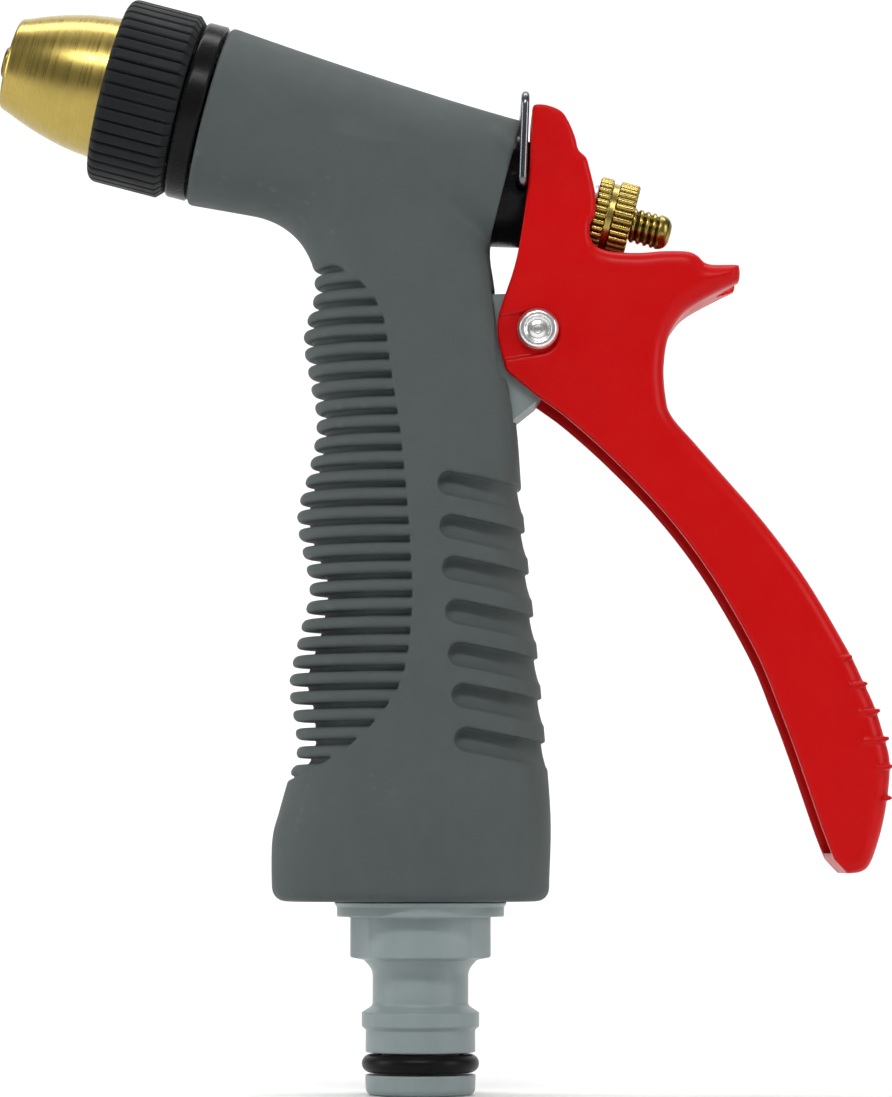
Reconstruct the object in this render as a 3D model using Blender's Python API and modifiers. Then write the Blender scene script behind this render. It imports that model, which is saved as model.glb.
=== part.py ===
"""Pistol spray gun for a garden hose, with a rear lever and a twist nozzle.

The gun stands on its hose connector.  The origin is the centre of the connector's
lower end, +Z is up, the nozzle points to -X and the lever is on the +X side.
Shapes are described in millimetres and made in metres.
"""

import math

import bmesh
import bpy
from mathutils import Matrix, Vector

MM = 0.001
MERGE = 0.00001            # merge distance of modifiers, in metres
GAP = 0.3                  # clearance between pieces that meet

# Barrel axis: it starts at the middle of the nozzle's front face and slopes down rearward.
# "s" is the distance along it from that face, and "up" is the height above it.
NOSE_X, NOSE_Z = -60.1, 150.5
BARREL_TILT = math.radians(14.7)

# Hose connector, a standard quick-release tail (heights above the origin)
TAIL_RADIUS = 7.95
TAIL_RIDGE_RADIUS = 8.5
TAIL_NECK_RADIUS = 7.0
TAIL_ORING_HEIGHT = 4.55
TAIL_ORING_WIRE = 1.35
HEX_RADIUS = 10.0
FLANGE_RADIUS = 12.15
FLANGE_TOP = 27.8
SPIGOT_RADIUS = 7.5
SPIGOT_TOP = 42.0
WATER_BORE = 4.6

# Grip
GRIP_BOTTOM = 28.1
RISER_X = -0.5
RISER_RADIUS = 9.2
CORE_TUBE_OUTER = 9.3
CORE_TUBE_INNER = 7.9

# Barrel stations along the axis
THREAD_START, RING_FRONT, RING_REAR = 14.2, 26.6, 29.9
SLEEVE_FRONT, BARREL_REAR = 30.2, 73.9
RING_RADIUS = 13.1
BODY_RADIUS = 7.6
CHAMBER_RADIUS = 5.4
SEAT_SHOULDER = 36.0
SLEEVE_FRONT_RADIUS, SLEEVE_REAR_RADIUS = 13.2, 10.65
PORT_S = 61.6              # where the riser's bore meets the barrel axis

# Valve
STEM_RADIUS = 2.7
STEM_PIN_RADIUS = 2.35
STEM_END = 99.9
WASHER_FRONT = 40.1
PLUG_FRONT, PLUG_REAR = 43.2, 45.2
SPRING_FRONT, SPRING_REAR = 45.6, 68.7
SPRING_RADIUS, SPRING_WIRE, SPRING_TURNS = 4.1, 1.2, 6

# Twist nozzle
TIP_RADIUS, TIP_NOSE_DROP, TIP_OGIVE, TIP_POWER = 10.1, 4.0, 16.0, 1.865
COLLAR_FRONT, COLLAR_REAR, COLLAR_RADIUS = 15.0, 26.3, 13.7
COLLAR_RIBS = 46

# Lever, nut and lock bail
PIVOT_X, PIVOT_Z = 16.95, 110.3
PULL_ANGLE, PULL_SLIDE = math.radians(16.0), 5.465   # full squeeze, and the stem travel then
LEVER_HALF_WIDTH, LEVER_INNER = 9.5, 8.0
LEVER_WALL = 2.4
NUT_FRONT, NUT_REAR, NUT_RADIUS = 88.45, 94.0, 6.1
NUT_FLUTES = 28
NUT_GROOVE_FRONT, NUT_GROOVE_REAR, NUT_GROOVE_DEPTH = 90.0, 91.2, 0.8
CRADLE_FLOOR, CRADLE_RADIUS = 87.45, 6.7
BAIL_S, BAIL_UP, BAIL_LEAN = 77.2, 0.6, 2.2
BAIL_REACH, BAIL_HALF_WIDTH, BAIL_WIRE = 14.3, 10.6, 1.2

COLOURS = {
    "rubber": ((0.075, 0.090, 0.090), 0.0, 0.72),
    "red_paint": ((0.52, 0.010, 0.012), 0.0, 0.36),
    "grey_plastic": ((0.20, 0.235, 0.235), 0.0, 0.42),
    "black_plastic": ((0.010, 0.010, 0.011), 0.0, 0.18),
    "black_rubber": ((0.014, 0.015, 0.016), 0.0, 0.62),
    "seal_rubber": ((0.010, 0.010, 0.010), 0.0, 0.50),
    "brass": ((0.62, 0.45, 0.17), 1.0, 0.30),
    "steel": ((0.60, 0.60, 0.60), 1.0, 0.28),
    "nickel": ((0.78, 0.77, 0.74), 1.0, 0.22),
}


# ---------------------------------------------------------------- scene and helpers

def clear_scene():
    for item in list(bpy.data.objects):
        bpy.data.objects.remove(item, do_unlink=True)


def new_collection(name):
    group = bpy.data.collections.new(name)
    bpy.context.scene.collection.children.link(group)
    return group


def along_barrel(s, up=0.0, y=0.0):
    """World position, in millimetres, of a place given along and above the barrel axis."""
    run, rise = math.cos(BARREL_TILT), math.sin(BARREL_TILT)
    return Vector((NOSE_X + s * run + up * rise, y, NOSE_Z - s * rise + up * run))


def new_empty(name, place, rotation=(0.0, 0.0, 0.0)):
    marker = bpy.data.objects.new(name, None)
    marker.location = place * MM
    marker.rotation_euler = rotation
    PARTS.objects.link(marker)
    return marker


def add_object(name, data, frame=None, group=None):
    item = bpy.data.objects.new(name, data)
    (group or PARTS).objects.link(item)
    item.parent = frame
    return item


def finish_part(item, finish):
    """Give a part its own material in one of the finishes, and shade it."""
    colour, metallic, roughness = COLOURS[finish]
    material = bpy.data.materials.new(item.name + "_" + finish)
    material.use_nodes = True
    shader = material.node_tree.nodes["Principled BSDF"]
    shader.inputs["Base Color"].default_value = (*colour, 1.0)
    shader.inputs["Metallic"].default_value = metallic
    shader.inputs["Roughness"].default_value = roughness
    material.diffuse_color = (*colour, 1.0)
    item.data.materials.clear()
    item.data.materials.append(material)
    if item.type == "MESH":
        item.data.shade_smooth()
        item.data.set_sharp_from_angle(angle=math.radians(35))
    return item


def as_cutter(item):
    """Move an object to the cutters, where it is drawn as wire and not rendered."""
    for group in list(item.users_collection):
        group.objects.unlink(item)
    CUTTERS.objects.link(item)
    item.hide_render = True
    item.display_type = "WIRE"
    return item


def boolean(item, tool, operation="DIFFERENCE"):
    modifier = item.modifiers.new(operation.lower(), "BOOLEAN")
    modifier.operation = operation
    modifier.solver = "EXACT"
    modifier.object = as_cutter(tool)
    return item


def turned(name, outline, frame, steps=28):
    """A solid of revolution about the frame's Z axis.

    The outline is (radius, height) points: down the outer side from the highest point to
    the lowest, then, for a piece with a bore, back up the inner side.  It starts and ends
    on the axis, or closes on itself.
    """
    mesh = bpy.data.meshes.new(name)
    verts = [(radius * MM, 0.0, height * MM) for radius, height in outline]
    edges = [(i, i + 1) for i in range(len(verts) - 1)]
    if outline[0][0] > 0.0:
        edges.append((len(verts) - 1, 0))
    mesh.from_pydata(verts, edges, [])
    item = add_object(name, mesh, frame)
    screw = item.modifiers.new("turn", "SCREW")
    screw.axis = "Z"
    screw.angle = math.tau
    screw.steps = steps
    screw.render_steps = steps
    screw.use_merge_vertices = True
    screw.merge_threshold = MERGE
    return item


def tube(name, outer, inner, low, high, frame, steps=24):
    """A plain tube or washer between two heights on the frame's Z axis."""
    return turned(name, [(outer, high), (outer, low), (inner, low), (inner, high)], frame, steps)


def rod(name, radius, low, high, frame, steps=30):
    return turned(name, [(0.0, high), (radius, high), (radius, low), (0.0, low)], frame, steps)


def ring(name, centre_radius, wire_radius, height, frame, steps=24, sides=6):
    """An O-ring: a circle turned about the frame's Z axis."""
    outline = []
    for i in range(sides):
        angle = -math.tau * i / sides
        outline.append((centre_radius + wire_radius * math.cos(angle),
                        height + wire_radius * math.sin(angle)))
    return turned(name, outline, frame, steps)


def flowing(points, per_span=4):
    """A smooth open line through the given points (a Catmull-Rom spline)."""
    padded = [points[0]] + list(points) + [points[-1]]
    line = []
    for a, b, c, d in zip(padded, padded[1:], padded[2:], padded[3:]):
        for step in range(per_span):
            t = step / per_span
            line.append(tuple(
                0.5 * (2 * q + (r - p) * t + (2 * p - 5 * q + 4 * r - s) * t * t
                       + (3 * q - p - 3 * r + s) * t ** 3)
                for p, q, r, s in zip(a, b, c, d)))
    line.append(tuple(points[-1]))
    return line


def arc(centre, radius, start, end, steps):
    """Points on a circle between two angles in degrees."""
    angles = [math.radians(start + (end - start) * i / steps) for i in range(steps + 1)]
    return [(centre[0] + radius * math.cos(a), centre[1] + radius * math.sin(a)) for a in angles]


def curve_to_mesh(item):
    """Replace a curve object by its welded mesh, in the same place."""
    bpy.context.view_layer.update()
    shape = item.evaluated_get(bpy.context.evaluated_depsgraph_get())
    mesh = bpy.data.meshes.new_from_object(shape)
    work = bmesh.new()
    work.from_mesh(mesh)
    bmesh.ops.remove_doubles(work, verts=work.verts, dist=MERGE)
    bmesh.ops.recalc_face_normals(work, faces=work.faces)
    work.to_mesh(mesh)
    work.free()
    name, frame, place = item.name, item.parent, item.matrix_basis.copy()
    bpy.data.objects.remove(item, do_unlink=True)
    solid = add_object(name, mesh, frame)
    solid.matrix_basis = place
    return solid


def plate(name, outline, half_thickness, frame=None, upright=True):
    """A flat outline with thickness: in the X-Z plane if upright, else in the frame's X-Y."""
    curve = bpy.data.curves.new(name, "CURVE")
    curve.dimensions = "2D"
    curve.fill_mode = "BOTH"
    curve.extrude = half_thickness * MM
    spline = curve.splines.new("POLY")
    spline.points.add(len(outline) - 1)
    for point, (a, b) in zip(spline.points, outline):
        point.co = (a * MM, b * MM, 0.0, 1.0)
    spline.use_cyclic_u = True
    item = add_object(name, curve, frame)
    if upright:
        item.rotation_euler = (math.radians(90), 0.0, 0.0)
    return curve_to_mesh(item)


def wire(name, path, radius, frame, resolution=2):
    """A round wire along a list of points of the frame."""
    curve = bpy.data.curves.new(name, "CURVE")
    curve.dimensions = "3D"
    curve.bevel_depth = radius * MM
    curve.bevel_resolution = resolution
    curve.use_fill_caps = True
    spline = curve.splines.new("POLY")
    spline.points.add(len(path) - 1)
    for point, place in zip(spline.points, path):
        point.co = (*(Vector(place) * MM), 1.0)
    return curve_to_mesh(add_object(name, curve, frame))


def mark_bevel(item, width, segments, keep):
    """Round the edges that the test accepts, which gets an edge's middle in millimetres."""
    work = bmesh.new()
    work.from_mesh(item.data)
    weights = work.edges.layers.float.new("bevel_weight_edge")
    for edge in work.edges:
        middle = (edge.verts[0].co + edge.verts[1].co) / (2 * MM)
        sharp = len(edge.link_faces) == 2 and edge.calc_face_angle(0.0) > math.radians(60)
        if sharp and keep(middle):
            edge[weights] = 1.0
    work.to_mesh(item.data)
    work.free()
    bevel = item.modifiers.new("round", "BEVEL")
    bevel.limit_method = "WEIGHT"
    bevel.width = width * MM
    bevel.segments = segments
    return item


# ---------------------------------------------------------------- hose connector

def make_connector():
    profile = [(SPIGOT_RADIUS, SPIGOT_TOP), (SPIGOT_RADIUS, FLANGE_TOP)]
    profile += [(FLANGE_RADIUS, FLANGE_TOP), (FLANGE_RADIUS, 25.9), (HEX_RADIUS, 25.6)]
    profile += arc((HEX_RADIUS - 0.3, 20.7), 0.3, 0, -90, 2)
    profile += arc((TAIL_NECK_RADIUS + 1.9, 18.1), 1.9, 110, 180, 4)
    profile += [(TAIL_NECK_RADIUS, 12.9), (TAIL_RIDGE_RADIUS, 11.7), (TAIL_RIDGE_RADIUS, 10.1)]
    groove_low = TAIL_ORING_HEIGHT - TAIL_ORING_WIRE - 0.25
    groove_high = TAIL_ORING_HEIGHT + TAIL_ORING_WIRE + 0.25
    profile += [(TAIL_RADIUS, 9.5), (TAIL_RADIUS, groove_high), (5.65, groove_high)]
    profile += [(5.65, groove_low), (TAIL_RADIUS, groove_low)]
    profile += arc((TAIL_RADIUS - 0.8, 0.8), 0.8, 0, -90, 3)
    profile += [(WATER_BORE, 0.0), (WATER_BORE, SPIGOT_TOP)]
    finish_part(turned("inlet_connector", profile, None), "grey_plastic")
    oring = ring("connector_oring", 7.15, TAIL_ORING_WIRE, TAIL_ORING_HEIGHT, None, 32, 10)
    finish_part(oring, "seal_rubber")
    gasket = tube("connector_gasket", 7.4, 4.9, SPIGOT_TOP + GAP, 43.9, None)
    finish_part(gasket, "seal_rubber")


# ---------------------------------------------------------------- grip

FRONT_EDGE = [(27.9, -19.8), (31.0, -21.4), (37.0, -21.6), (42.0, -20.6), (46.0, -19.0),
              (49.5, -18.0), (54.0, -18.4), (59.4, -19.1), (66.0, -17.8), (73.0, -16.2),
              (78.0, -17.1), (84.0, -18.0), (91.0, -16.2), (97.5, -15.2), (104.0, -16.3),
              (110.0, -17.1), (115.5, -15.6), (120.0, -15.1), (124.2, -16.9), (127.5, -21.0),
              (131.0, -24.0), (135.0, -24.5)]
REAR_EDGE = [(27.9, 18.2), (31.0, 18.7), (40.0, 18.7), (51.8, 17.6), (63.4, 16.6),
             (75.1, 15.4), (86.7, 14.3), (98.0, 13.4), (110.0, 11.8), (118.7, 10.5),
             (123.6, 9.5), (129.0, 9.6), (135.0, 10.6)]
HALF_DEPTH = [(27.9, 13.4), (31.0, 14.4), (40.0, 14.4), (50.0, 13.2), (75.0, 13.2),
              (100.0, 12.8), (120.0, 11.8), (135.0, 10.9)]


def read_edge(edge, height):
    """The edge's value at a height, between its smooth line's points."""
    line = flowing(edge)
    for (z0, v0), (z1, v1) in zip(line, line[1:]):
        if z0 <= height <= z1:
            return v0 + (v1 - v0) * (height - z0) / (z1 - z0)
    return line[-1][1]


def grip_form(name):
    """The outside of the rubber grip: oval sections lofted from its foot into the barrel."""
    low, high, levels, around, square = 27.9, 135.0, 28, 32, 2.3
    mesh = bpy.data.meshes.new(name)
    work = bmesh.new()
    rings = []
    for level in range(levels + 1):
        height = low + (high - low) * level / levels
        front, rear = read_edge(FRONT_EDGE, height), read_edge(REAR_EDGE, height)
        depth = read_edge(HALF_DEPTH, height)
        loop = []
        for i in range(around):
            c, s = math.cos(math.tau * i / around), math.sin(math.tau * i / around)
            x = (front + rear) / 2 + (rear - front) / 2 * math.copysign(abs(c) ** (2 / square), c)
            y = depth * math.copysign(abs(s) ** (2 / square), s)
            loop.append(work.verts.new(Vector((x, y, height)) * MM))
        rings.append(loop)
    for lower, upper in zip(rings, rings[1:]):
        for i in range(around):
            j = (i + 1) % around
            work.faces.new((lower[i], lower[j], upper[j], upper[i]))
    work.faces.new(list(reversed(rings[0])))
    work.faces.new(rings[-1])
    work.to_mesh(mesh)
    work.free()
    return add_object(name, mesh)


def sleeve_radius(s):
    """Outer radius of the rubber on the barrel, which narrows towards the lever."""
    share = max(0.0, (BARREL_REAR - s) / (BARREL_REAR - SLEEVE_FRONT))
    return SLEEVE_REAR_RADIUS + (SLEEVE_FRONT_RADIUS - SLEEVE_REAR_RADIUS) * share ** 1.5


EAR = [(4, 115.45), (17.24, 115.74), (20.4, 114.66), (22.08, 111.69), (21.78, 107.64),
       (16.74, 100.03), (13.28, 97.26), (4, 90.35)]
EAR_HALF_WIDTH = 7.6


def grown(outline, by):
    """The outline with every point moved out from its middle, about that far."""
    middle = Vector((sum(x for x, _ in outline), sum(z for _, z in outline))) / len(outline)
    moved = []
    for point in outline:
        away = Vector(point) - middle
        moved.append(tuple(Vector(point) + away.normalized() * by * 1.5))
    return moved


def make_grip():
    riser_frame = new_empty("riser_axis", Vector((RISER_X, 0.0, 0.0)))

    sleeve = grip_form("rubber_sleeve")
    rows = 7
    span = BARREL_REAR - SLEEVE_FRONT
    stations = [BARREL_REAR - span * i / rows for i in range(rows)]
    outline = [(0.0, BARREL_REAR)] + [(sleeve_radius(s), s) for s in stations]
    outline += [(SLEEVE_FRONT_RADIUS, SLEEVE_FRONT + 0.5),
                (SLEEVE_FRONT_RADIUS - 0.4, SLEEVE_FRONT), (0.0, SLEEVE_FRONT)]
    boolean(sleeve, turned("sleeve_barrel", outline, BARREL), "UNION")
    boolean(sleeve, rod("sleeve_barrel_bore", CORE_TUBE_OUTER + GAP, 20.0, 90.0, BARREL))
    boolean(sleeve, rod("sleeve_riser_bore", RISER_RADIUS + GAP, 20.0, 132.0, riser_frame))
    boolean(sleeve, plate("sleeve_ear_slot", grown(EAR, GAP), EAR_HALF_WIDTH + GAP))
    finish_part(sleeve, "rubber")

    core = rod("grip_core", RISER_RADIUS, GRIP_BOTTOM, 130.0, riser_frame)
    outer = rod("core_tube", CORE_TUBE_OUTER, SLEEVE_FRONT, BARREL_REAR, BARREL)
    boolean(core, outer, "UNION")
    boolean(core, plate("core_ear", EAR, EAR_HALF_WIDTH), "UNION")
    boolean(core, rod("core_barrel_bore", CORE_TUBE_INNER, 20.0, 90.0, BARREL))
    boolean(core, rod("core_water_bore", WATER_BORE, 20.0, 132.0, riser_frame))
    boolean(core, rod("core_socket", SPIGOT_RADIUS + GAP, 20.0, 44.2, None))
    boolean(core, rod("core_rivet_hole", 1.75, -30.0, 30.0, CROSS_PIVOT, steps=20))
    finish_part(core, "grey_plastic")


# ---------------------------------------------------------------- barrel and valve

def make_barrel():
    groove, groove_width = 6.5, 1.6
    profile = [(BODY_RADIUS, BARREL_REAR)]
    for centre in (PORT_S + 7.0, PORT_S - 7.0):
        profile += [(BODY_RADIUS, centre + groove_width / 2), (groove, centre + groove_width / 2),
                    (groove, centre - groove_width / 2), (BODY_RADIUS, centre - groove_width / 2)]
    profile += [(BODY_RADIUS, RING_REAR), (RING_RADIUS - 0.3, RING_REAR),
                (RING_RADIUS, RING_REAR - 0.3), (RING_RADIUS, RING_FRONT + 0.5),
                (RING_RADIUS - 0.5, RING_FRONT), (8.05, RING_FRONT), (8.05, THREAD_START),
                (6.4, THREAD_START), (6.4, 8.4), (5.9, 7.8)]
    profile += [(WATER_BORE, 7.8), (WATER_BORE, SEAT_SHOULDER), (CHAMBER_RADIUS, SEAT_SHOULDER),
                (CHAMBER_RADIUS, 69.95), (6.3, 69.95), (6.3, BARREL_REAR)]
    body = turned("barrel_body", profile, BARREL)
    port_frame = new_empty("port_axis", Vector((RISER_X, 0.0, 0.0)))
    boolean(body, rod("barrel_port", 4.2, 122.0, 134.0, port_frame, steps=24))
    finish_part(body, "black_plastic")
    for name, centre in (("barrel_rear_oring", PORT_S + 7.0), ("barrel_front_oring", PORT_S - 7.0)):
        finish_part(ring(name, 7.17, 0.58, centre, BARREL), "seal_rubber")

    seat = turned("valve_seat", [(5.1, 39.0), (5.1, SEAT_SHOULDER + GAP),
                                 (3.9, SEAT_SHOULDER + GAP), (3.9, 39.8), (4.4, 39.8),
                                 (4.7, 39.0)], BARREL, steps=24)
    finish_part(seat, "brass")

    profile = [(6.05, 73.95), (6.05, 73.5), (5.2, 73.5), (5.2, 72.4), (6.05, 72.4), (6.05, 70.25),
               (4.35, 70.25), (4.35, 72.1), (2.95, 72.1), (2.95, 80.3)]
    cone = [(6.6, 80.3), (7.1, 79.9), (7.45, 78.7), (8.4, 74.7), (8.4, 74.2), (6.05, 74.2)]
    bonnet = turned("rear_bonnet", cone + profile, BARREL)
    for side, sign in (("near", -1), ("far", 1)):
        pad = rod("bail_pad_" + side, 1.85, 5.2, 7.75, bail_cross(sign), steps=20)
        boolean(bonnet, pad, "UNION")
        hole = rod("bail_hole_" + side, 0.85, 5.6, 9.0, bail_cross(sign), steps=16)
        boolean(bonnet, hole)
    finish_part(bonnet, "black_plastic")
    finish_part(ring("bonnet_oring", 5.74, 0.42, 72.95, BARREL), "seal_rubber")
    finish_part(ring("stem_oring", 3.52, 0.70, 71.15, BARREL), "seal_rubber")
    seat_washer = tube("spring_seat_washer", 5.15, 3.0, 69.1, 69.9, BARREL)
    finish_part(seat_washer, "brass")


def bail_cross(sign):
    """A frame at the bail's pivot whose Z axis points sideways, to -Y or +Y."""
    lean = math.radians(-90 * sign)
    name = "bail_cross_near" if sign < 0 else "bail_cross_far"
    return bpy.data.objects.get(name) or new_empty(name, BAIL_PLACE, (lean, 0.0, 0.0))


def make_valve():
    frame = STEM
    dome = arc((STEM_RADIUS - 2.2, STEM_END - 2.2), 2.2, 90, 0, 5)
    profile = [(0.0, STEM_END)] + dome
    profile += [(STEM_RADIUS, PLUG_REAR), (4.9, PLUG_REAR), (4.9, PLUG_FRONT), (2.0, PLUG_FRONT),
                (2.0, 4.0), (STEM_PIN_RADIUS, 3.4), (STEM_PIN_RADIUS, -0.7), (2.05, -1.0),
                (0.0, -1.0)]
    finish_part(turned("valve_stem", profile, frame, steps=24), "brass")
    washer = tube("valve_washer", 4.9, 2.25, WASHER_FRONT, PLUG_FRONT - 0.25, frame)
    finish_part(washer, "seal_rubber")
    retainer = tube("washer_retainer", 3.1, 2.2, 37.7, WASHER_FRONT - 0.2, frame)
    finish_part(retainer, "brass")

    per_turn, wire_radius = 12, SPRING_WIRE / 2
    low, high = SPRING_FRONT + wire_radius, SPRING_REAR - wire_radius
    count = SPRING_TURNS * per_turn
    path = []
    for i in range(count + 1):
        angle = math.tau * i / per_turn
        turn = i / per_turn
        # the first and last turns lie flat, and the ones between share the height evenly
        pitch_turns = SPRING_TURNS - 2
        rise = min(max(turn - 1.0, 0.0), pitch_turns) / pitch_turns
        flat = SPRING_WIRE * 1.15 * (min(turn, 1.0) + max(turn - SPRING_TURNS + 1, 0.0))
        inner = (high - low) - 2 * SPRING_WIRE * 1.15
        path.append((SPRING_RADIUS * math.cos(angle), SPRING_RADIUS * math.sin(angle),
                     low + flat + inner * rise))
    finish_part(wire("return_spring", path, wire_radius, BARREL), "steel")


# ---------------------------------------------------------------- twist nozzle

def tip_radius(s):
    """Outer radius of the brass tip, a bullet shape that ends in a flat face."""
    return TIP_RADIUS - TIP_NOSE_DROP * max(0.0, 1.0 - s / TIP_OGIVE) ** TIP_POWER


def make_nozzle():
    profile = [(TIP_RADIUS, 25.6), (TIP_RADIUS, TIP_OGIVE)]
    profile += [(tip_radius(s), s) for s in (12.0, 8.5, 5.5, 3.0, 0.9)]
    profile += [(tip_radius(0.9) - 0.25, 0.35), (tip_radius(0.9) - 0.85, 0.0)]
    profile += [(2.65, 0.0), (2.65, 1.6), (6.7, 6.6), (6.7, 11.2), (8.1, 11.2), (8.1, 12.9),
                (6.7, 12.9), (6.7, 13.9), (8.35, 13.9), (8.35, 25.6)]
    finish_part(turned("nozzle_tip", profile, NOZZLE), "brass")
    finish_part(ring("nozzle_oring", 7.3, 0.72, 12.05, NOZZLE), "seal_rubber")

    valley, crest = COLLAR_RADIUS - 0.35, COLLAR_RADIUS
    profile = [(10.4, COLLAR_FRONT), (10.4, COLLAR_REAR), (valley - 0.9, COLLAR_REAR),
               (valley, COLLAR_REAR - 0.9), (valley, COLLAR_FRONT + 1.2)]
    profile += arc((valley - 1.2, COLLAR_FRONT + 1.2), 1.2, 0, -90, 3)[1:]
    ordered = profile[2:] + profile[:2]
    collar = turned("nozzle_grip_ring", ordered, NOZZLE, steps=COLLAR_RIBS * 2)
    lift_ribs(collar, valley, crest)
    finish_part(collar, "black_rubber")


def lift_ribs(collar, valley, crest):
    """Make every other lengthwise row of the collar stand out as a rib."""
    bpy.context.view_layer.update()
    shape = collar.evaluated_get(bpy.context.evaluated_depsgraph_get())
    mesh = bpy.data.meshes.new_from_object(shape)
    collar.modifiers.clear()
    collar.data = mesh
    step = math.tau / (COLLAR_RIBS * 2)
    for vert in mesh.vertices:
        x, y, z = vert.co
        radius = math.hypot(x, y)
        row = round(math.atan2(y, x) / step)
        if row % 2 == 0 and radius > (valley - 0.1) * MM:
            vert.co = (x * crest / valley, y * crest / valley, z)


# ---------------------------------------------------------------- lever, nut, rivet and bail

LEVER_FRONT = [(16.15, 142.62), (15.85, 136.49), (15.46, 130.76), (13.88, 120.39), (12, 113.47),
               (11.46, 110.7), (11.8, 107.74), (12.79, 103.98)]
LEVER_UNDER = [(16.94, 100.53), (21.19, 97.46), (27.81, 91.14), (35.22, 83.23), (41.74, 74.44),
               (47.97, 63.57), (51.33, 55.66), (54.1, 48.75), (57.65, 38.67), (59.23, 34.02)]
LEVER_FOOT = [(60.91, 31.95), (63.78, 32.74)]
LEVER_BACK = [(65.56, 36.89), (66.74, 42.32), (67.19, 47.76), (66.35, 51.61), (65.06, 55.66),
              (63.38, 59.42), (61.61, 63.27), (57.26, 71.77), (53.5, 77.5), (49.15, 83.23),
              (44.41, 88.96), (40.26, 93.71), (36.7, 97.66), (35.42, 100.53), (34.93, 104.58),
              (35.62, 109.22), (37.4, 112.09), (39.27, 113.77), (43.13, 115.64), (45.3, 116.73)]
LEVER_HORN = [(45.89, 117.62), (45.99, 119.4), (45.5, 119.89), (41.45, 119.99), (39.87, 121.18),
              (38.38, 121.77), (35.02, 121.82), (31.66, 121.57), (28.3, 121.67), (26.13, 122.07),
              (24.85, 122.86), (24.35, 124.14), (24.45, 125.62), (25.04, 126.51), (25.19, 127.5),
              (25.14, 129.97), (24.35, 133.43), (23.86, 135.01), (22.77, 136.2), (22.28, 138.17),
              (21.29, 140.55), (20.2, 142.03), (18.13, 142.82), (16.64, 142.92)]
LEVER_HOLLOW_TOP = [(11.9, 140.64), (18.23, 140.45), (19.41, 137.78), (20.99, 134.81),
                    (22.08, 129.87), (21.78, 121.87), (24.25, 119.6), (30.68, 119.4),
                    (34.63, 119), (34.83, 116.04)]


def shifted(points, distance):
    """An open line moved sideways, to the left of its direction."""
    line = [Vector(p) for p in points]
    moved = []
    for i, point in enumerate(line):
        ahead = line[min(i + 1, len(line) - 1)] - line[max(i - 1, 0)]
        moved.append(tuple(point + Vector((-ahead.y, ahead.x)).normalized() * distance))
    return moved


def make_lever():
    outline = flowing(LEVER_FRONT, 2) + flowing(LEVER_UNDER, 3) + LEVER_FOOT
    outline += flowing(LEVER_BACK, 2) + LEVER_HORN
    lever = plate("trigger_lever", outline, LEVER_HALF_WIDTH, LEVER)
    lever.matrix_basis = Matrix.Translation(-LEVER_PLACE * MM) @ lever.matrix_basis

    def is_back(middle):
        near_front = any((Vector((middle.x, middle.y)) - Vector(p)).length < 2.6
                         for p in flowing(LEVER_FRONT, 2) + flowing(LEVER_UNDER, 2))
        return not near_front
    mark_bevel(lever, 1.6, 2, is_back)

    back_inside = shifted(LEVER_BACK[:-5], LEVER_WALL)
    front_outside = shifted(LEVER_UNDER[:-1], -4.0)
    hollow = [(11.5, 98.0)] + front_outside[1:] + [(61.3, 34.9)] + back_inside[1:]
    hollow += list(reversed(LEVER_HOLLOW_TOP)) + [(8.0, 141.0)]
    boolean(lever, plate("lever_hollow", hollow, LEVER_INNER))

    slot = arc((3.1, 0.0), 3.1, -90, 90, 8) + arc((-1.7, 0.0), 3.1, 90, 270, 8)
    slot = plate("lever_stem_slot", slot, 6.0, SLOT, upright=False)
    boolean(lever, slot)
    boolean(lever, rod("lever_nut_cradle", CRADLE_RADIUS, CRADLE_FLOOR, 106.0, BARREL))
    boolean(lever, rod("lever_tilt_relief", CRADLE_RADIUS, CRADLE_FLOOR, 106.0, PULLED))
    boolean(lever, rod("lever_rivet_hole", 1.9, -30.0, 30.0, CROSS_PIVOT, steps=20))
    finish_part(lever, "red_paint")

    outer = LEVER_HALF_WIDTH + 0.25
    head = [(0.0, outer + 0.55), (1.35, outer + 0.55), (1.85, outer + 1.0), (2.6, outer + 1.0),
            (3.03, outer + 0.6), (3.03, outer), (1.6, outer)]
    tail = [(1.6, -outer), (3.03, -outer), (3.03, -outer - 0.6), (2.3, -outer - 1.0),
            (0.0, -outer - 1.0)]
    finish_part(turned("pivot_rivet", head + tail, CROSS_PIVOT, steps=24), "nickel")


def make_nut():
    washer = tube("thrust_washer", 4.9, 3.0, CRADLE_FLOOR + GAP, NUT_FRONT - 0.25, NUT)
    finish_part(washer, "steel")
    groove = NUT_RADIUS - NUT_GROOVE_DEPTH
    profile = [(NUT_RADIUS - 0.3, NUT_REAR), (NUT_RADIUS, NUT_REAR - 0.3),
               (NUT_RADIUS, NUT_GROOVE_REAR), (groove, NUT_GROOVE_REAR - 0.2),
               (groove, NUT_GROOVE_FRONT + 0.2), (NUT_RADIUS, NUT_GROOVE_FRONT),
               (NUT_RADIUS, NUT_FRONT + 0.3), (NUT_RADIUS - 0.3, NUT_FRONT),
               (3.0, NUT_FRONT), (3.0, NUT_REAR)]
    finish_part(turned("adjusting_nut", profile, NUT, steps=NUT_FLUTES), "brass")


def make_bail():
    corner, foot_bend = 1.8, 0.9
    side, top = BAIL_HALF_WIDTH, BAIL_REACH
    half = [(6.0, 0.0)]
    half += arc((side - foot_bend, foot_bend), foot_bend, -90, 0, 4)
    half += arc((side - corner, top - corner), corner, 0, 90, 6)
    path = [(0.0, y, z) for y, z in half] + [(0.0, -y, z) for y, z in reversed(half)]
    finish_part(wire("wire_bail", path, BAIL_WIRE / 2, BAIL), "steel")


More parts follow.
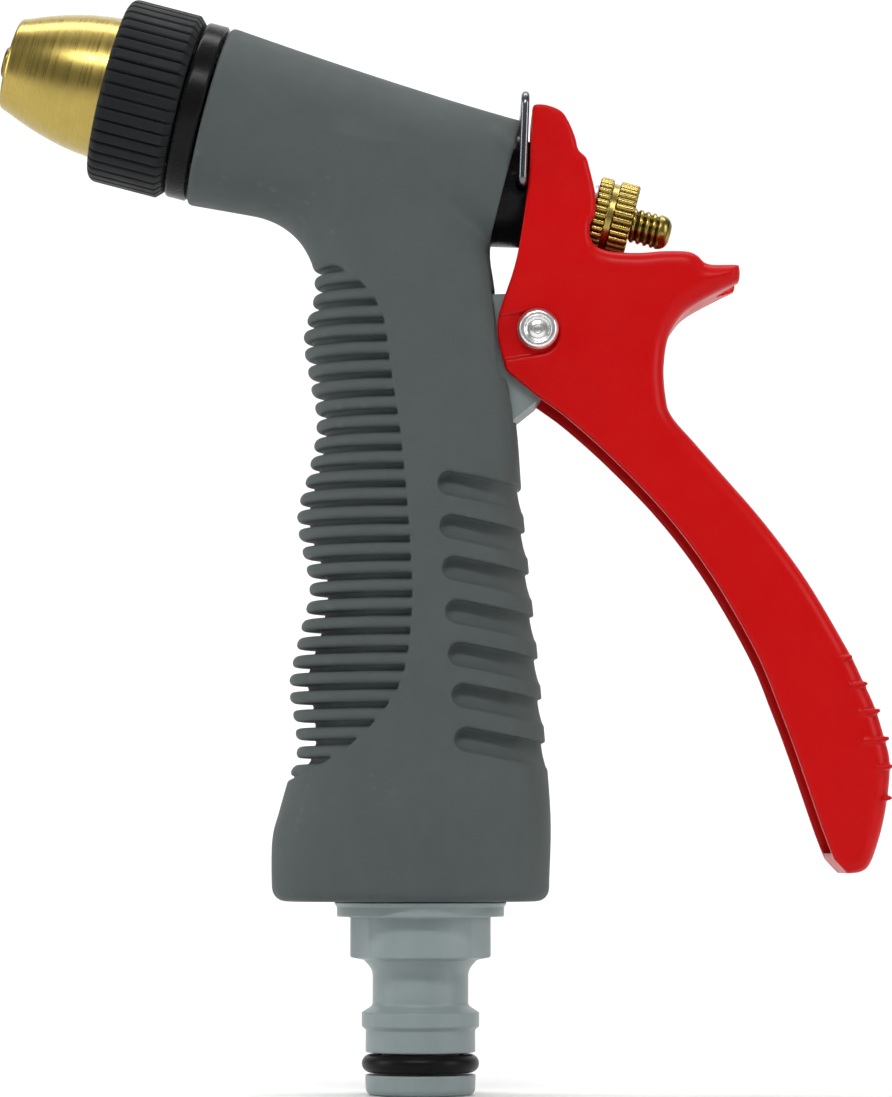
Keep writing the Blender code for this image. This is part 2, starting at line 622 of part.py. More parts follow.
# ---------------------------------------------------------------- build

clear_scene()
PARTS = new_collection("hose_spray_gun")
CUTTERS = new_collection("cutters")

REARWARD = (0.0, math.radians(90) + BARREL_TILT, 0.0)   # turns a frame's Z axis along the barrel
LEVER_PLACE = Vector((PIVOT_X, 0.0, PIVOT_Z))
BAIL_PLACE = along_barrel(BAIL_S, BAIL_UP)

BARREL = new_empty("barrel_axis", along_barrel(0.0), REARWARD)
STEM = new_empty("stem_axis", along_barrel(0.0), REARWARD)
NOZZLE = new_empty("nozzle_axis", along_barrel(0.0), REARWARD)
NUT = new_empty("nut_axis", along_barrel(0.0), REARWARD)
SLOT = new_empty("slot_frame", along_barrel(86.0), REARWARD)
LEVER = new_empty("lever_axis", LEVER_PLACE)
# the barrel axis as the lever sees it at full squeeze
BACK_TURN = Matrix.Rotation(-PULL_ANGLE, 3, "Y")
PULLED = new_empty("pulled_axis", LEVER_PLACE + BACK_TURN @ (along_barrel(PULL_SLIDE) - LEVER_PLACE),
                   (0.0, REARWARD[1] - PULL_ANGLE, 0.0))
CROSS_PIVOT = new_empty("rivet_axis", LEVER_PLACE, (math.radians(90), 0.0, 0.0))
BAIL = new_empty("bail_axis", BAIL_PLACE, (0.0, math.radians(BAIL_LEAN), 0.0))

make_connector()
make_grip()
make_barrel()
make_valve()
make_nozzle()
make_lever()
make_nut()
make_bail()
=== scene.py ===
"""Looks of a garden hose spray gun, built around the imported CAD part.

The gun stands on its hose connector with the nozzle pointing to -X and the lever on the
+X side.  Shapes are described in millimetres and made in metres.  Along the barrel, "s" is
the distance from the nozzle's front face and "up" is the height above the barrel axis.
"""

import math

import bpy
import numpy as np
from mathutils import Matrix, Vector


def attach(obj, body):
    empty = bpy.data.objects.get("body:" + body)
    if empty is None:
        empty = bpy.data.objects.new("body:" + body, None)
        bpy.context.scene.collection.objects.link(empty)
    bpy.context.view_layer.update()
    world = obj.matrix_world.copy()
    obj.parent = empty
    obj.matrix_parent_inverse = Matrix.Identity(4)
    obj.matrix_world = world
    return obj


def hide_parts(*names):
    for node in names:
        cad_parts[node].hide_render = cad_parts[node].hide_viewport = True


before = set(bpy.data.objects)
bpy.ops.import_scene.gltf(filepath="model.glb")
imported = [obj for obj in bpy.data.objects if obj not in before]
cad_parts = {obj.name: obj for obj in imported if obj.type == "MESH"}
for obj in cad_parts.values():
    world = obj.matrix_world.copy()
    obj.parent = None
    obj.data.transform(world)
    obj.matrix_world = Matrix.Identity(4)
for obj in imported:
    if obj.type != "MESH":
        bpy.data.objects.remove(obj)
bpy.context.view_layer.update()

MM = 0.001

# Barrel axis
NOSE_X, NOSE_Z = -60.1, 150.5
TILT = math.radians(14.7)
RUN, RISE = math.cos(TILT), math.sin(TILT)
RING_FRONT, RING_REAR = 26.6, 29.9
SLEEVE_FRONT, SLEEVE_REAR = 30.2, 74.7
SLEEVE_FRONT_RADIUS, SLEEVE_REAR_RADIUS = 13.2, 10.65
CORE_TUBE_RADIUS, CORE_TUBE_REAR = 9.6, 74.15
RISER_X, RISER_RADIUS = -0.5, 9.5

# Lever and what it touches; the nut rests in a round recess of the lever, the cradle
PIVOT_X, PIVOT_Z, PIVOT_HOLE = 16.95, 110.3, 1.9
PULL_ANGLE, PULL_SLIDE = math.radians(16.0), 5.465
LEVER_HALF_WIDTH, LEVER_INNER, LEVER_WALL = 9.5, 8.0, 2.4
CRADLE_FLOOR, CRADLE_RADIUS = 87.45, 6.7
WASHER_FRONT, WASHER_REAR, WASHER_RADIUS, WASHER_BORE = 87.6, 88.05, 4.5, 3.0
NUT_FRONT, NUT_REAR, NUT_RADIUS, NUT_BORE, NUT_FLUTES = 88.1, 94.0, 5.8, 2.95, 34
STEM_RADIUS, STEM_END, DOME = 2.55, 99.9, 1.75

# Wire loop, hung from the cone behind the barrel
BAIL_S, BAIL_UP, BAIL_LEAN = 77.2, 0.6, math.radians(2.2)
BAIL_REACH, BAIL_HALF_WIDTH, BAIL_WIRE_RADIUS = 12.9, 10.6, 0.6


# ---------------------------------------------------------------- meshes

def along_barrel(s, up=0.0, y=0.0):
    return Vector((NOSE_X + s * RUN + up * RISE, y, NOSE_Z - s * RISE + up * RUN))


def axis_frame(place, axis, start):
    """A frame with its Z along the axis and its X along start."""
    z = Vector(axis).normalized()
    x = Vector(start).normalized()
    y = z.cross(x)
    turn = Matrix((x, y, z)).transposed().to_4x4()
    turn.translation = place
    return turn


BARREL = axis_frame(along_barrel(0.0), (RUN, 0.0, -RISE), (RISE, 0.0, RUN))
UPRIGHT = axis_frame(Vector((0.0, 0.0, 0.0)), (0.0, 0.0, 1.0), (1.0, 0.0, 0.0))
CROSS = axis_frame(Vector((PIVOT_X, 0.0, PIVOT_Z)), (0.0, -1.0, 0.0), (1.0, 0.0, 0.0))


def add_piece(name, points, faces, material, body, nodes, slot, frame_matrix=None, sharp=40.0):
    """A mesh piece from points in millimetres, which rides on a body and stands for nodes."""
    points = np.asarray(points, float)
    if frame_matrix is not None:
        turn = np.array(frame_matrix.to_3x3())
        points = points @ turn.T + np.array(frame_matrix.translation)
    mesh = bpy.data.meshes.new(name)
    mesh.from_pydata((points * MM).tolist(), [], faces)
    mesh.validate()
    item = bpy.data.objects.new(name, mesh)
    bpy.context.scene.collection.objects.link(item)
    mesh.shade_smooth()
    if sharp:
        mesh.set_sharp_from_angle(angle=math.radians(sharp))
    mesh.materials.append(material)
    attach(item, body)
    if nodes:
        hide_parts(*nodes)
    return item


def rounded(corners, closed, segments=4, support=0.12):
    """Outline points with each (radius, height, fillet) corner turned into an arc.

    Short support spans beside each arc keep the long faces flat when shaded smooth.
    """
    out = []
    count = len(corners)
    for i, corner in enumerate(corners):
        place, fillet = Vector(corner[:2]), (corner[2] if len(corner) > 2 else 0.0)
        if fillet <= 0.0 or (not closed and i in (0, count - 1)):
            out.append(place)
            continue
        before, after = Vector(corners[i - 1][:2]), Vector(corners[(i + 1) % count][:2])
        to_before, to_after = before - place, after - place
        angle = to_before.angle(to_after)
        reach = min(fillet / math.tan(angle / 2), 0.49 * to_before.length, 0.49 * to_after.length)
        radius = reach * math.tan(angle / 2)
        centre = place + (to_before.normalized() + to_after.normalized()).normalized() * (
            radius / math.sin(angle / 2))
        first = place + to_before.normalized() * reach
        last = place + to_after.normalized() * reach
        out.append(first + to_before.normalized() * min(support, 0.3 * to_before.length))
        a, b = first - centre, last - centre
        sweep = a.angle_signed(b)
        for step in range(segments + 1):
            turn = Matrix.Rotation(-sweep * step / segments, 2)
            out.append(centre + turn @ a)
        out.append(last + to_after.normalized() * min(support, 0.3 * to_after.length))
    return [(p.x, p.y) for p in out]


def revolve(corners, steps=96, shape=None, segments=4):
    """Points and faces of a turned body about the frame's Z axis.

    corners are (radius, height, fillet) along the section.  A section that starts and ends
    on the axis is solid; any other closes on itself.  shape(radius, height, angle) may
    change the radius round the axis.
    """
    solid = corners[0][0] == 0.0
    outline = np.array(rounded(corners, not solid, segments))
    angles = np.arange(steps) * (math.tau / steps)
    radius = np.repeat(outline[:, :1], steps, axis=1)
    height = np.repeat(outline[:, 1:], steps, axis=1)
    if shape is not None:
        radius = np.where(radius > 0.0, shape(radius, height, angles[None, :]), 0.0)
    points = np.stack([radius * np.cos(angles), radius * np.sin(angles), height], axis=-1)
    rows = len(outline)
    faces = []
    first, last = (1, rows - 1) if solid else (0, rows)
    grid = points[first:last].reshape(-1, 3)
    count = last - first
    for i in range(count - 1 if solid else count):
        a, b = i * steps, ((i + 1) % count) * steps
        faces += [(a + j, b + j, b + (j + 1) % steps, a + (j + 1) % steps) for j in range(steps)]
    if solid:
        start, end = len(grid), len(grid) + 1
        grid = np.vstack([grid, points[0, :1], points[-1, :1]])
        tail = (count - 1) * steps
        faces += [(start, j, (j + 1) % steps) for j in range(steps)]
        faces += [(end, tail + (j + 1) % steps, tail + j) for j in range(steps)]
    return grid, faces


def flowing(points, per_span=6):
    """A smooth open line through the given points (a Catmull-Rom spline)."""
    padded = [points[0]] + list(points) + [points[-1]]
    line = []
    for a, b, c, d in zip(padded, padded[1:], padded[2:], padded[3:]):
        for step in range(per_span):
            t = step / per_span
            line.append(tuple(
                0.5 * (2 * q + (r - p) * t + (2 * p - 5 * q + 4 * r - s) * t * t
                       + (3 * q - p - 3 * r + s) * t ** 3)
                for p, q, r, s in zip(a, b, c, d)))
    line.append(tuple(points[-1]))
    return line


# ---------------------------------------------------------------- distance fields

def blend_min(a, b, reach):
    share = np.clip(0.5 + 0.5 * (b - a) / reach, 0.0, 1.0)
    return b * (1.0 - share) + a * share - reach * share * (1.0 - share)


def blend_max(a, b, reach):
    return -blend_min(-a, -b, reach)


def barrel_place(x, z):
    """Distance along the barrel axis and height above it."""
    dx, dz = x - NOSE_X, z - NOSE_Z
    return dx * RUN - dz * RISE, dx * RISE + dz * RUN


def segment_distance(x, z, start, end):
    ax, az = start
    bx, bz = end[0] - ax, end[1] - az
    share = np.clip(((x - ax) * bx + (z - az) * bz) / (bx * bx + bz * bz), 0.0, 1.0)
    return np.hypot(x - ax - share * bx, z - az - share * bz)


class FlatShape:
    """Signed distance to a closed outline in the X-Z plane, read from a fine table."""

    def __init__(self, outline, low, high, cell=0.15):
        self.low, self.cell = low, cell
        xs = np.arange(low[0], high[0] + cell, cell)
        zs = np.arange(low[1], high[1] + cell, cell)
        x, z = np.meshgrid(xs, zs, indexing="ij")
        near = np.full(x.shape, 1e9)
        inside = np.zeros(x.shape, bool)
        ends = outline[1:] + outline[:1]
        for start, end in zip(outline, ends):
            if math.dist(start, end) < 1e-6:
                continue
            near = np.minimum(near, segment_distance(x, z, start, end))
            if start[1] != end[1]:
                crosses = (start[1] > z) != (end[1] > z)
                at = start[0] + (z - start[1]) * (end[0] - start[0]) / (end[1] - start[1])
                inside ^= crosses & (x < at)
        self.table = np.where(inside, -near, near).astype(np.float32)

    def __call__(self, x, z):
        return read_table(self.table, self.low, self.cell, x, z)


def read_table(table, low, cell, x, z):
    """Values between the points of an even table."""
    i = np.clip((x - low[0]) / cell, 0.0, table.shape[0] - 1.001)
    j = np.clip((z - low[1]) / cell, 0.0, table.shape[1] - 1.001)
    i0, j0 = i.astype(int), j.astype(int)
    u, v = i - i0, j - j0
    return ((table[i0, j0] * (1 - u) + table[i0 + 1, j0] * u) * (1 - v)
            + (table[i0, j0 + 1] * (1 - u) + table[i0 + 1, j0 + 1] * u) * v)


def surface_of(field, low, high, cell, settle=2):
    """Quads on the zero surface of a field, with one point in each crossed grid cell."""
    axes = [np.arange(a, b + c, c, dtype=np.float32) for a, b, c in zip(low, high, cell)]
    grid = np.meshgrid(*axes, indexing="ij", sparse=True)
    value = np.broadcast_to(field(*grid), [len(a) for a in axes]).astype(np.float32)
    inside = value < 0.0
    corners = [(i, j, k) for i in (0, 1) for j in (0, 1) for k in (0, 1)]

    def part(array, offset):
        return array[tuple(slice(o, n - 1 + o) for o, n in zip(offset, value.shape))]
    total = sum(part(inside, c).astype(np.int8) for c in corners)
    cells = np.argwhere((total > 0) & (total < 8))
    sums = np.zeros((len(cells), 3))
    hits = np.zeros(len(cells))
    for axis in range(3):
        for offset in corners:
            if offset[axis] == 1:
                continue
            a = cells + offset
            b = a.copy()
            b[:, axis] += 1
            va, vb = value[tuple(a.T)], value[tuple(b.T)]
            crossed = (va < 0.0) != (vb < 0.0)
            share = np.where(crossed, va / np.where(crossed, va - vb, 1.0), 0.0)
            place = a.astype(float)
            place[:, axis] += share
            sums += place * crossed[:, None]
            hits += crossed
    points = sums / hits[:, None] * np.array(cell) + np.array([a[0] for a in axes])
    number = np.full([n - 1 for n in value.shape], -1, np.int32)
    number[tuple(cells.T)] = np.arange(len(cells))
    faces = []
    for axis in range(3):
        u, v = (axis + 1) % 3, (axis + 2) % 3
        ahead = [slice(None)] * 3
        behind = [slice(None)] * 3
        behind[axis], ahead[axis] = slice(0, -1), slice(1, None)
        crossed = inside[tuple(behind)] != inside[tuple(ahead)]
        spots = np.argwhere(crossed)
        spots = spots[(spots[:, u] > 0) & (spots[:, v] > 0)
                      & (spots[:, u] < value.shape[u] - 1) & (spots[:, v] < value.shape[v] - 1)]
        ring = []
        for du, dv in ((-1, -1), (0, -1), (0, 0), (-1, 0)):
            at = spots.copy()
            at[:, u] += du
            at[:, v] += dv
            ring.append(number[tuple(at.T)])
        ring = np.stack(ring, axis=1)
        outward = inside[tuple(spots.T)]
        ring[~outward] = ring[~outward][:, ::-1]
        faces.append(ring)
    faces = np.vstack(faces)
    step = 0.02
    for _ in range(settle):
        x, y, z = points.T
        here = field(x, y, z)
        slope = np.stack([
            field(x + step, y, z) - field(x - step, y, z),
            field(x, y + step, z) - field(x, y - step, z),
            field(x, y, z + step) - field(x, y, z - step)], axis=1) / (2 * step)
        steep = np.maximum((slope ** 2).sum(axis=1), 0.25)
        move = -slope * (here / steep)[:, None] * 0.8
        limit = 0.4 * min(cell)
        length = np.maximum(np.linalg.norm(move, axis=1), 1e-9)
        points = points + move * np.minimum(1.0, limit / length)[:, None]
    return points, faces.tolist()


# ---------------------------------------------------------------- materials

class Surface:
    """A procedural material: one Principled shader with its noise, roughness and bump nodes."""

    def __init__(self, name, colour, roughness, metallic=0.0):
        self.material = bpy.data.materials.new(name)
        self.material.use_nodes = True
        self.tree = self.material.node_tree
        self.shader = self.tree.nodes["Principled BSDF"]
        self.shader.inputs["Metallic"].default_value = metallic
        self.shader.inputs["Base Color"].default_value = (*colour, 1.0)
        self.shader.inputs["Roughness"].default_value = roughness
        self.place = self.tree.nodes.new("ShaderNodeTexCoord").outputs["Object"]
        self.height = None

    def put(self, **values):
        for key, value in values.items():
            self.shader.inputs[key.replace("_", " ")].default_value = value
        return self

    def node(self, kind, **settings):
        made = self.tree.nodes.new(kind)
        for key, value in settings.items():
            setattr(made, key, value)
        return made

    def link(self, source, target):
        self.tree.links.new(source, target)

    def squeezed(self, matrix=None, stretch=(1.0, 1.0, 1.0)):
        """Object coordinates turned into a frame and stretched along its axes."""
        if matrix is None and stretch == (1.0, 1.0, 1.0):
            return self.place
        source = self.place
        if matrix is not None:
            turn = self.node("ShaderNodeMapping", vector_type="TEXTURE")
            turn.inputs["Location"].default_value = matrix.translation * MM
            turn.inputs["Rotation"].default_value = matrix.to_euler()
            self.link(source, turn.inputs["Vector"])
            source = turn.outputs["Vector"]
        scale = self.node("ShaderNodeMapping")
        scale.inputs["Scale"].default_value = stretch
        self.link(source, scale.inputs["Vector"])
        return scale.outputs["Vector"]

    def noise(self, size, detail=3.0, rough=0.55, place=None):
        """Noise with features about so many millimetres across."""
        made = self.node("ShaderNodeTexNoise")
        made.inputs["Scale"].default_value = 1.0 / (size * MM)
        made.inputs["Detail"].default_value = detail
        made.inputs["Roughness"].default_value = rough
        self.link(place or self.place, made.inputs["Vector"])
        return made.outputs["Fac"]

    def spread(self, source, low, high, start=0.3, end=0.7):
        """The source's range from start to end, stretched to low and high."""
        made = self.node("ShaderNodeMapRange")
        for key, value in (("From Min", start), ("From Max", end), ("To Min", low),
                           ("To Max", high)):
            made.inputs[key].default_value = value
        self.link(source, made.inputs["Value"])
        return made.outputs["Result"]

    def edges(self, sharp_from=0.52, sharp_to=0.62):
        """Near 1 on outer edges, where a part is rubbed first."""
        shape = self.node("ShaderNodeNewGeometry")
        return self.spread(shape.outputs["Pointiness"], 0.0, 1.0, sharp_from, sharp_to)

    def between(self, matrix, radii):
        """Near 1 between two radii round a frame's axis: painted shade in the roots of grooves.
        """
        length = self.node("ShaderNodeVectorMath", operation="LENGTH")
        self.link(self.squeezed(matrix, (1.0, 1.0, 0.0)), length.inputs[0])
        inner, outer = radii[0] * MM, radii[1] * MM
        above = self.spread(length.outputs["Value"], 0.0, 0.9, inner - 0.08 * MM, inner)
        below = self.spread(length.outputs["Value"], 1.0, 0.0, inner, outer)
        return self.times(above, below)

    def times(self, a, b):
        made = self.node("ShaderNodeMath", operation="MULTIPLY")
        self.link(a, made.inputs[0])
        if isinstance(b, float):
            made.inputs[1].default_value = b
        else:
            self.link(b, made.inputs[1])
        return made.outputs[0]

    def tint(self, share, other):
        """Mix the colour so far towards another by a share."""
        mix = self.node("ShaderNodeMix", data_type="RGBA")
        base = self.shader.inputs["Base Color"]
        if base.links:
            self.link(base.links[0].from_socket, mix.inputs["A"])
        else:
            mix.inputs["A"].default_value = base.default_value
        mix.inputs["B"].default_value = (*other, 1.0)
        self.link(share, mix.inputs["Factor"])
        self.link(mix.outputs["Result"], base)
        return self

    def rough(self, source):
        self.link(source, self.shader.inputs["Roughness"])
        return self

    def bump(self, source, depth, strength=1.0):
        """Add relief of so many millimetres."""
        made = self.node("ShaderNodeBump")
        made.inputs["Distance"].default_value = depth * MM
        made.inputs["Strength"].default_value = strength
        self.link(source, made.inputs["Height"])
        if self.height is not None:
            self.link(self.height, made.inputs["Normal"])
        self.height = made.outputs["Normal"]
        self.link(self.height, self.shader.inputs["Normal"])
        return self


def scaled(colour, by):
    return tuple(min(1.0, c * by) for c in colour)


def rubber_surface(name, colour, roughness, grain=0.35, relief=0.02, shine=0.25):
    """Soft-touch moulded rubber: fine spark-eroded grain, dull patches and darker mottling."""
    skin = Surface(name, colour, roughness)
    skin.put(Specular_IOR_Level=shine, Sheen_Weight=0.03, Sheen_Roughness=0.5, IOR=1.4)
    patches = skin.noise(14.0, 4.0, 0.6)
    skin.tint(skin.spread(patches, 0.0, 0.55, 0.35, 0.7), scaled(colour, 1.16))
    skin.tint(skin.spread(skin.noise(2.4, 5.0, 0.65), 0.0, 0.35), scaled(colour, 0.84))
    skin.tint(skin.times(skin.edges(0.53, 0.66), 0.35), scaled(colour, 1.5))
    skin.rough(skin.spread(skin.noise(5.0, 4.0, 0.6), roughness - 0.07, roughness + 0.08))
    skin.bump(skin.noise(grain, 2.0, 0.5), relief)
    skin.bump(skin.noise(9.0, 2.0, 0.4), 0.05, 0.5)
    return skin.material


def enamel_surface(name, colour):
    """Sprayed enamel on a casting: slight orange peel, dust specks and rubbed edges."""
    coat = Surface(name, colour, 0.34)
    coat.put(Coat_Weight=0.03, Coat_Roughness=0.2, Specular_IOR_Level=0.14, IOR=1.4)
    coat.tint(coat.spread(coat.noise(18.0, 3.0), 0.0, 0.5, 0.35, 0.7), scaled(colour, 0.88))
    coat.tint(coat.spread(coat.noise(0.5, 2.0), 0.0, 0.25, 0.62, 0.72), scaled(colour, 0.7))
    worn = coat.times(coat.edges(0.55, 0.68), coat.spread(coat.noise(3.0, 5.0), 0.0, 0.5))
    coat.tint(worn, scaled(colour, 1.35))
    coat.rough(coat.spread(coat.noise(4.0, 4.0), 0.29, 0.42))
    coat.bump(coat.noise(1.1, 2.0, 0.45), 0.018)
    coat.bump(coat.noise(7.0, 2.0, 0.4), 0.08, 0.5)
    return coat.material


def plastic_surface(name, colour, roughness, relief=0.006, flow=0.1, shine=0.3, index=1.5):
    """Injection-moulded plastic with faint flow marks and fine handling scratches."""
    shell = Surface(name, colour, roughness)
    shell.put(Specular_IOR_Level=shine, IOR=index)
    marks = shell.noise(6.0, 4.0, 0.6, shell.squeezed(stretch=(1.0, 1.0, 0.35)))
    shell.tint(shell.spread(marks, 0.0, 1.0, 0.35, 0.7), scaled(colour, 1.0 - flow))
    shell.tint(shell.times(shell.edges(0.53, 0.64), 0.4), scaled(colour, 1.35))
    scuffs = shell.noise(1.2, 6.0, 0.7, shell.squeezed(stretch=(1.0, 1.0, 5.0)))
    shell.rough(shell.spread(scuffs, roughness - 0.04, roughness + 0.10))
    shell.bump(shell.noise(0.6, 3.0, 0.5), relief)
    shell.bump(shell.noise(8.0, 2.0, 0.4), 0.04, 0.4)
    return shell.material


def metal_surface(name, colour, roughness, frame_matrix, lines=0.35, stain=0.75, tarnish=0.35,
                  painted_shade_radii=None):
    """Turned metal: fine tool lines round the axis, faint tarnish, rubbed edges and, when radii
    are given, painted shade in the groove roots.
    """
    metal = Surface(name, colour, roughness, metallic=1.0)
    turned = metal.squeezed(frame_matrix, (0.015, 0.015, 1.0))
    tool = metal.noise(lines, 3.0, 0.7, turned)
    cloud = metal.noise(4.0, 5.0, 0.62)
    metal.tint(metal.spread(cloud, 0.0, tarnish, 0.42, 0.72), scaled(colour, stain))
    metal.tint(metal.spread(tool, 0.0, 0.10), scaled(colour, stain))
    metal.tint(metal.times(metal.edges(0.54, 0.66), 0.6), scaled(colour, 1.25))
    # painted shade: the colour darkens towards the roots of flutes and threads, between the given
    # radii, standing in for the shade that falls there
    if painted_shade_radii:
        metal.tint(metal.between(frame_matrix, painted_shade_radii), scaled(colour, 0.16))
    metal.rough(metal.spread(metal.noise(0.8, 5.0, 0.7, turned), roughness - 0.06,
                             roughness + 0.10))
    metal.bump(tool, 0.0018)
    metal.bump(metal.noise(1.5, 3.0, 0.5), 0.012, 0.4)
    return metal.material


RUBBER = (0.068, 0.082, 0.080)
RED = (0.50, 0.0030, 0.0036)
GREY = (0.185, 0.222, 0.222)
BRASS = (0.43, 0.325, 0.088)
STEEL = (0.56, 0.56, 0.56)
NICKEL = (0.86, 0.86, 0.85)
WIRE = (0.16, 0.165, 0.18)
COLLAR_BLACK = (0.0125, 0.0135, 0.0145)
SEAL_BLACK = (0.005, 0.005, 0.005)
PLASTIC_BLACK = (0.006, 0.006, 0.0065)

RUBBER_SKIN = rubber_surface("soft_grip_rubber", RUBBER, 0.66)
COLLAR_SKIN = rubber_surface("ribbed_collar_rubber", COLLAR_BLACK, 0.5, 0.3, 0.012, 0.12)
SEAL_SKIN = rubber_surface("seal_rubber", SEAL_BLACK, 0.34, 0.25, 0.006, 0.15)
RED_SKIN = enamel_surface("red_enamel", RED)
GREY_SKIN = plastic_surface("grey_connector_plastic", scaled(GREY, 1.3), 0.33)
CORE_SKIN = plastic_surface("grey_core_plastic", GREY, 0.42, 0.012)
BLACK_SKIN = plastic_surface("gloss_black_plastic", PLASTIC_BLACK, 0.22, 0.003, 0.1, 0.3, 1.25)
BRASS_SKIN = metal_surface("satin_brass", BRASS, 0.27, BARREL)
# painted shade in the nut's flute roots and in the stem's thread roots
NUT_SKIN = metal_surface("knurled_brass", BRASS, 0.25, BARREL, painted_shade_radii=(5.36, 5.72))
STEM_SKIN = metal_surface("threaded_brass", scaled(BRASS, 0.85), 0.25, BARREL, painted_shade_radii=(2.1, 2.5))
DULL_BRASS_SKIN = metal_surface("plain_brass", scaled(BRASS, 0.85), 0.34, BARREL)
STEEL_SKIN = metal_surface("spring_steel", STEEL, 0.30, BARREL)
WIRE_SKIN = metal_surface("drawn_wire", WIRE, 0.20, BARREL, tarnish=0.2)
NICKEL_SKIN = metal_surface("nickel_plate", NICKEL, 0.24, CROSS, stain=0.9, tarnish=0.1)

HIDDEN_FINISH = {
    "grip_core": CORE_SKIN,
    "barrel_front_oring": SEAL_SKIN,
    "barrel_rear_oring": SEAL_SKIN,
    "bonnet_oring": SEAL_SKIN,
    "stem_oring": SEAL_SKIN,
    "nozzle_oring": SEAL_SKIN,
    "connector_gasket": SEAL_SKIN,
    "valve_washer": SEAL_SKIN,
    "valve_seat": DULL_BRASS_SKIN,
    "washer_retainer": DULL_BRASS_SKIN,
    "spring_seat_washer": DULL_BRASS_SKIN,
    "return_spring": STEEL_SKIN,
}
for node, skin in HIDDEN_FINISH.items():
    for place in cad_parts[node].material_slots:
        place.material = skin


# ---------------------------------------------------------------- rubber grip

# (height, value): front and rear edge of the grip and half its width, from foot to barrel
FRONT_EDGE = [(27.0, -21.3), (31.0, -21.6), (37.0, -21.5), (41.0, -20.5), (45.6, -19.2),
              (49.5, -18.0), (54.0, -18.4), (59.4, -19.1), (66.0, -17.8), (73.0, -16.2),
              (78.0, -17.1), (84.0, -18.0), (91.0, -16.2), (97.5, -15.2), (104.0, -16.3),
              (110.0, -17.1), (115.5, -15.7), (119.5, -15.6), (123.0, -16.2), (128.0, -17.2),
              (135.0, -18.0)]
REAR_EDGE = [(27.0, 18.6), (31.0, 18.7), (40.0, 18.9), (51.8, 18.05), (63.4, 17.05),
             (75.1, 15.85), (86.7, 14.75), (98.0, 13.8), (110.0, 11.75), (118.7, 10.5),
             (123.6, 9.6), (129.0, 9.1), (135.0, 9.0)]
HALF_DEPTH = [(27.0, 14.2), (40.0, 14.3), (50.0, 13.2), (75.0, 13.2), (100.0, 12.8),
              (116.0, 12.0), (124.0, 11.0), (135.0, 8.5)]
# (height, X): where the finger ribs end on the side of the grip
RIB_LIMIT = [(40.0, -60.0), (45.0, -20.5), (45.5, -18.9), (46.5, -16.2), (48.0, -13.6),
             (50.0, -10.4), (52.8, -7.3), (55.3, -5.2), (57.7, -3.5), (60.2, -2.4),
             (62.8, -1.85), (65.2, -1.5), (67.8, -1.25), (73.1, -1.1), (78.2, -1.35),
             (83.2, -1.7), (88.2, -2.1), (94.5, -2.7), (99.5, -3.45), (104.7, -4.25),
             (110.0, -4.85), (112.4, -5.4), (114.9, -6.7), (117.4, -8.8), (119.6, -11.8),
             (121.3, -16.5), (124.0, -60.0)]
# (height, depth): how deep the slots between the ribs are on the front of the grip
SLOT_DEPTH = [(45.0, 4.4), (56.8, 4.1), (59.4, 3.0), (62.0, 3.2), (67.0, 4.0), (71.0, 3.5),
              (75.0, 3.1), (80.0, 2.0), (88.0, 1.7), (97.0, 1.5), (107.0, 1.6), (113.0, 1.1),
              (121.0, 1.2)]
RIB_FIRST, RIB_PITCH, RIB_HALF = 46.85, 2.6336, 0.84
SLOT_SIDE_DEPTH = 1.5
# (X, top Z): round ends of the side grooves
GROOVES = [(2.5, 89.55), (2.8, 83.35), (3.15, 77.35), (3.6, 71.15), (4.0, 65.05), (4.5, 59.15),
           (4.9, 52.85)]
GROOVE_RADIUS, GROOVE_FALL, GROOVE_DEPTH = 1.7, math.radians(10.4), 2.2
GRIP_FOOT, GRIP_ROOF = 27.9, 134.0
UNDER_BULGE = 0.35          # how much fuller the barrel is below its axis
SECTION_POWER = 2.3
# beside the lever's ears the back of the grip is squarer
EAR_POWER, EAR_SPAN = 4.5, (84.0, 92.0, 122.0, 130.0)
# the flat behind the hinge: its X, half width, foot and top
ROOM_FACE, ROOM_HALF_WIDTH, ROOM_FOOT, ROOM_TOP = 10.8, 9.8, 103.2, 111.2
CORE_BORE_END, RISER_TOP = 8.75, 132.0


def edge_table(edge):
    """Heights and values of a smooth line through an edge's points."""
    line = np.array(flowing(edge, 8))
    return line[:, 0], line[:, 1]


FRONT_TABLE, REAR_TABLE, DEPTH_TABLE = (
    edge_table(e) for e in (FRONT_EDGE, REAR_EDGE, HALF_DEPTH))
LIMIT_HEIGHTS, LIMIT_XS = (np.array(v) for v in zip(*RIB_LIMIT))


def grip_shape(x, y, z):
    """Signed distance, close enough near the surface, to the smooth oval grip."""
    front, rear = np.interp(z, *FRONT_TABLE), np.interp(z, *REAR_TABLE)
    half = np.interp(z, *DEPTH_TABLE)
    length = (rear - front) / 2
    middle = (front + rear) / 2
    u = np.abs(x - middle) / length
    v = np.abs(y) / half
    power = SECTION_POWER + (EAR_POWER - SECTION_POWER) * np.where(x > middle, 1.0, 0.0) * (
        np.interp(z, EAR_SPAN, (0.0, 1.0, 1.0, 0.0)))
    size = np.maximum((u ** power + v ** power) ** (1 / power), 1e-3)
    slope = np.hypot((u / size) ** (power - 1) / length, (v / size) ** (power - 1) / half)
    return (size - 1.0) / np.maximum(slope, 0.02)


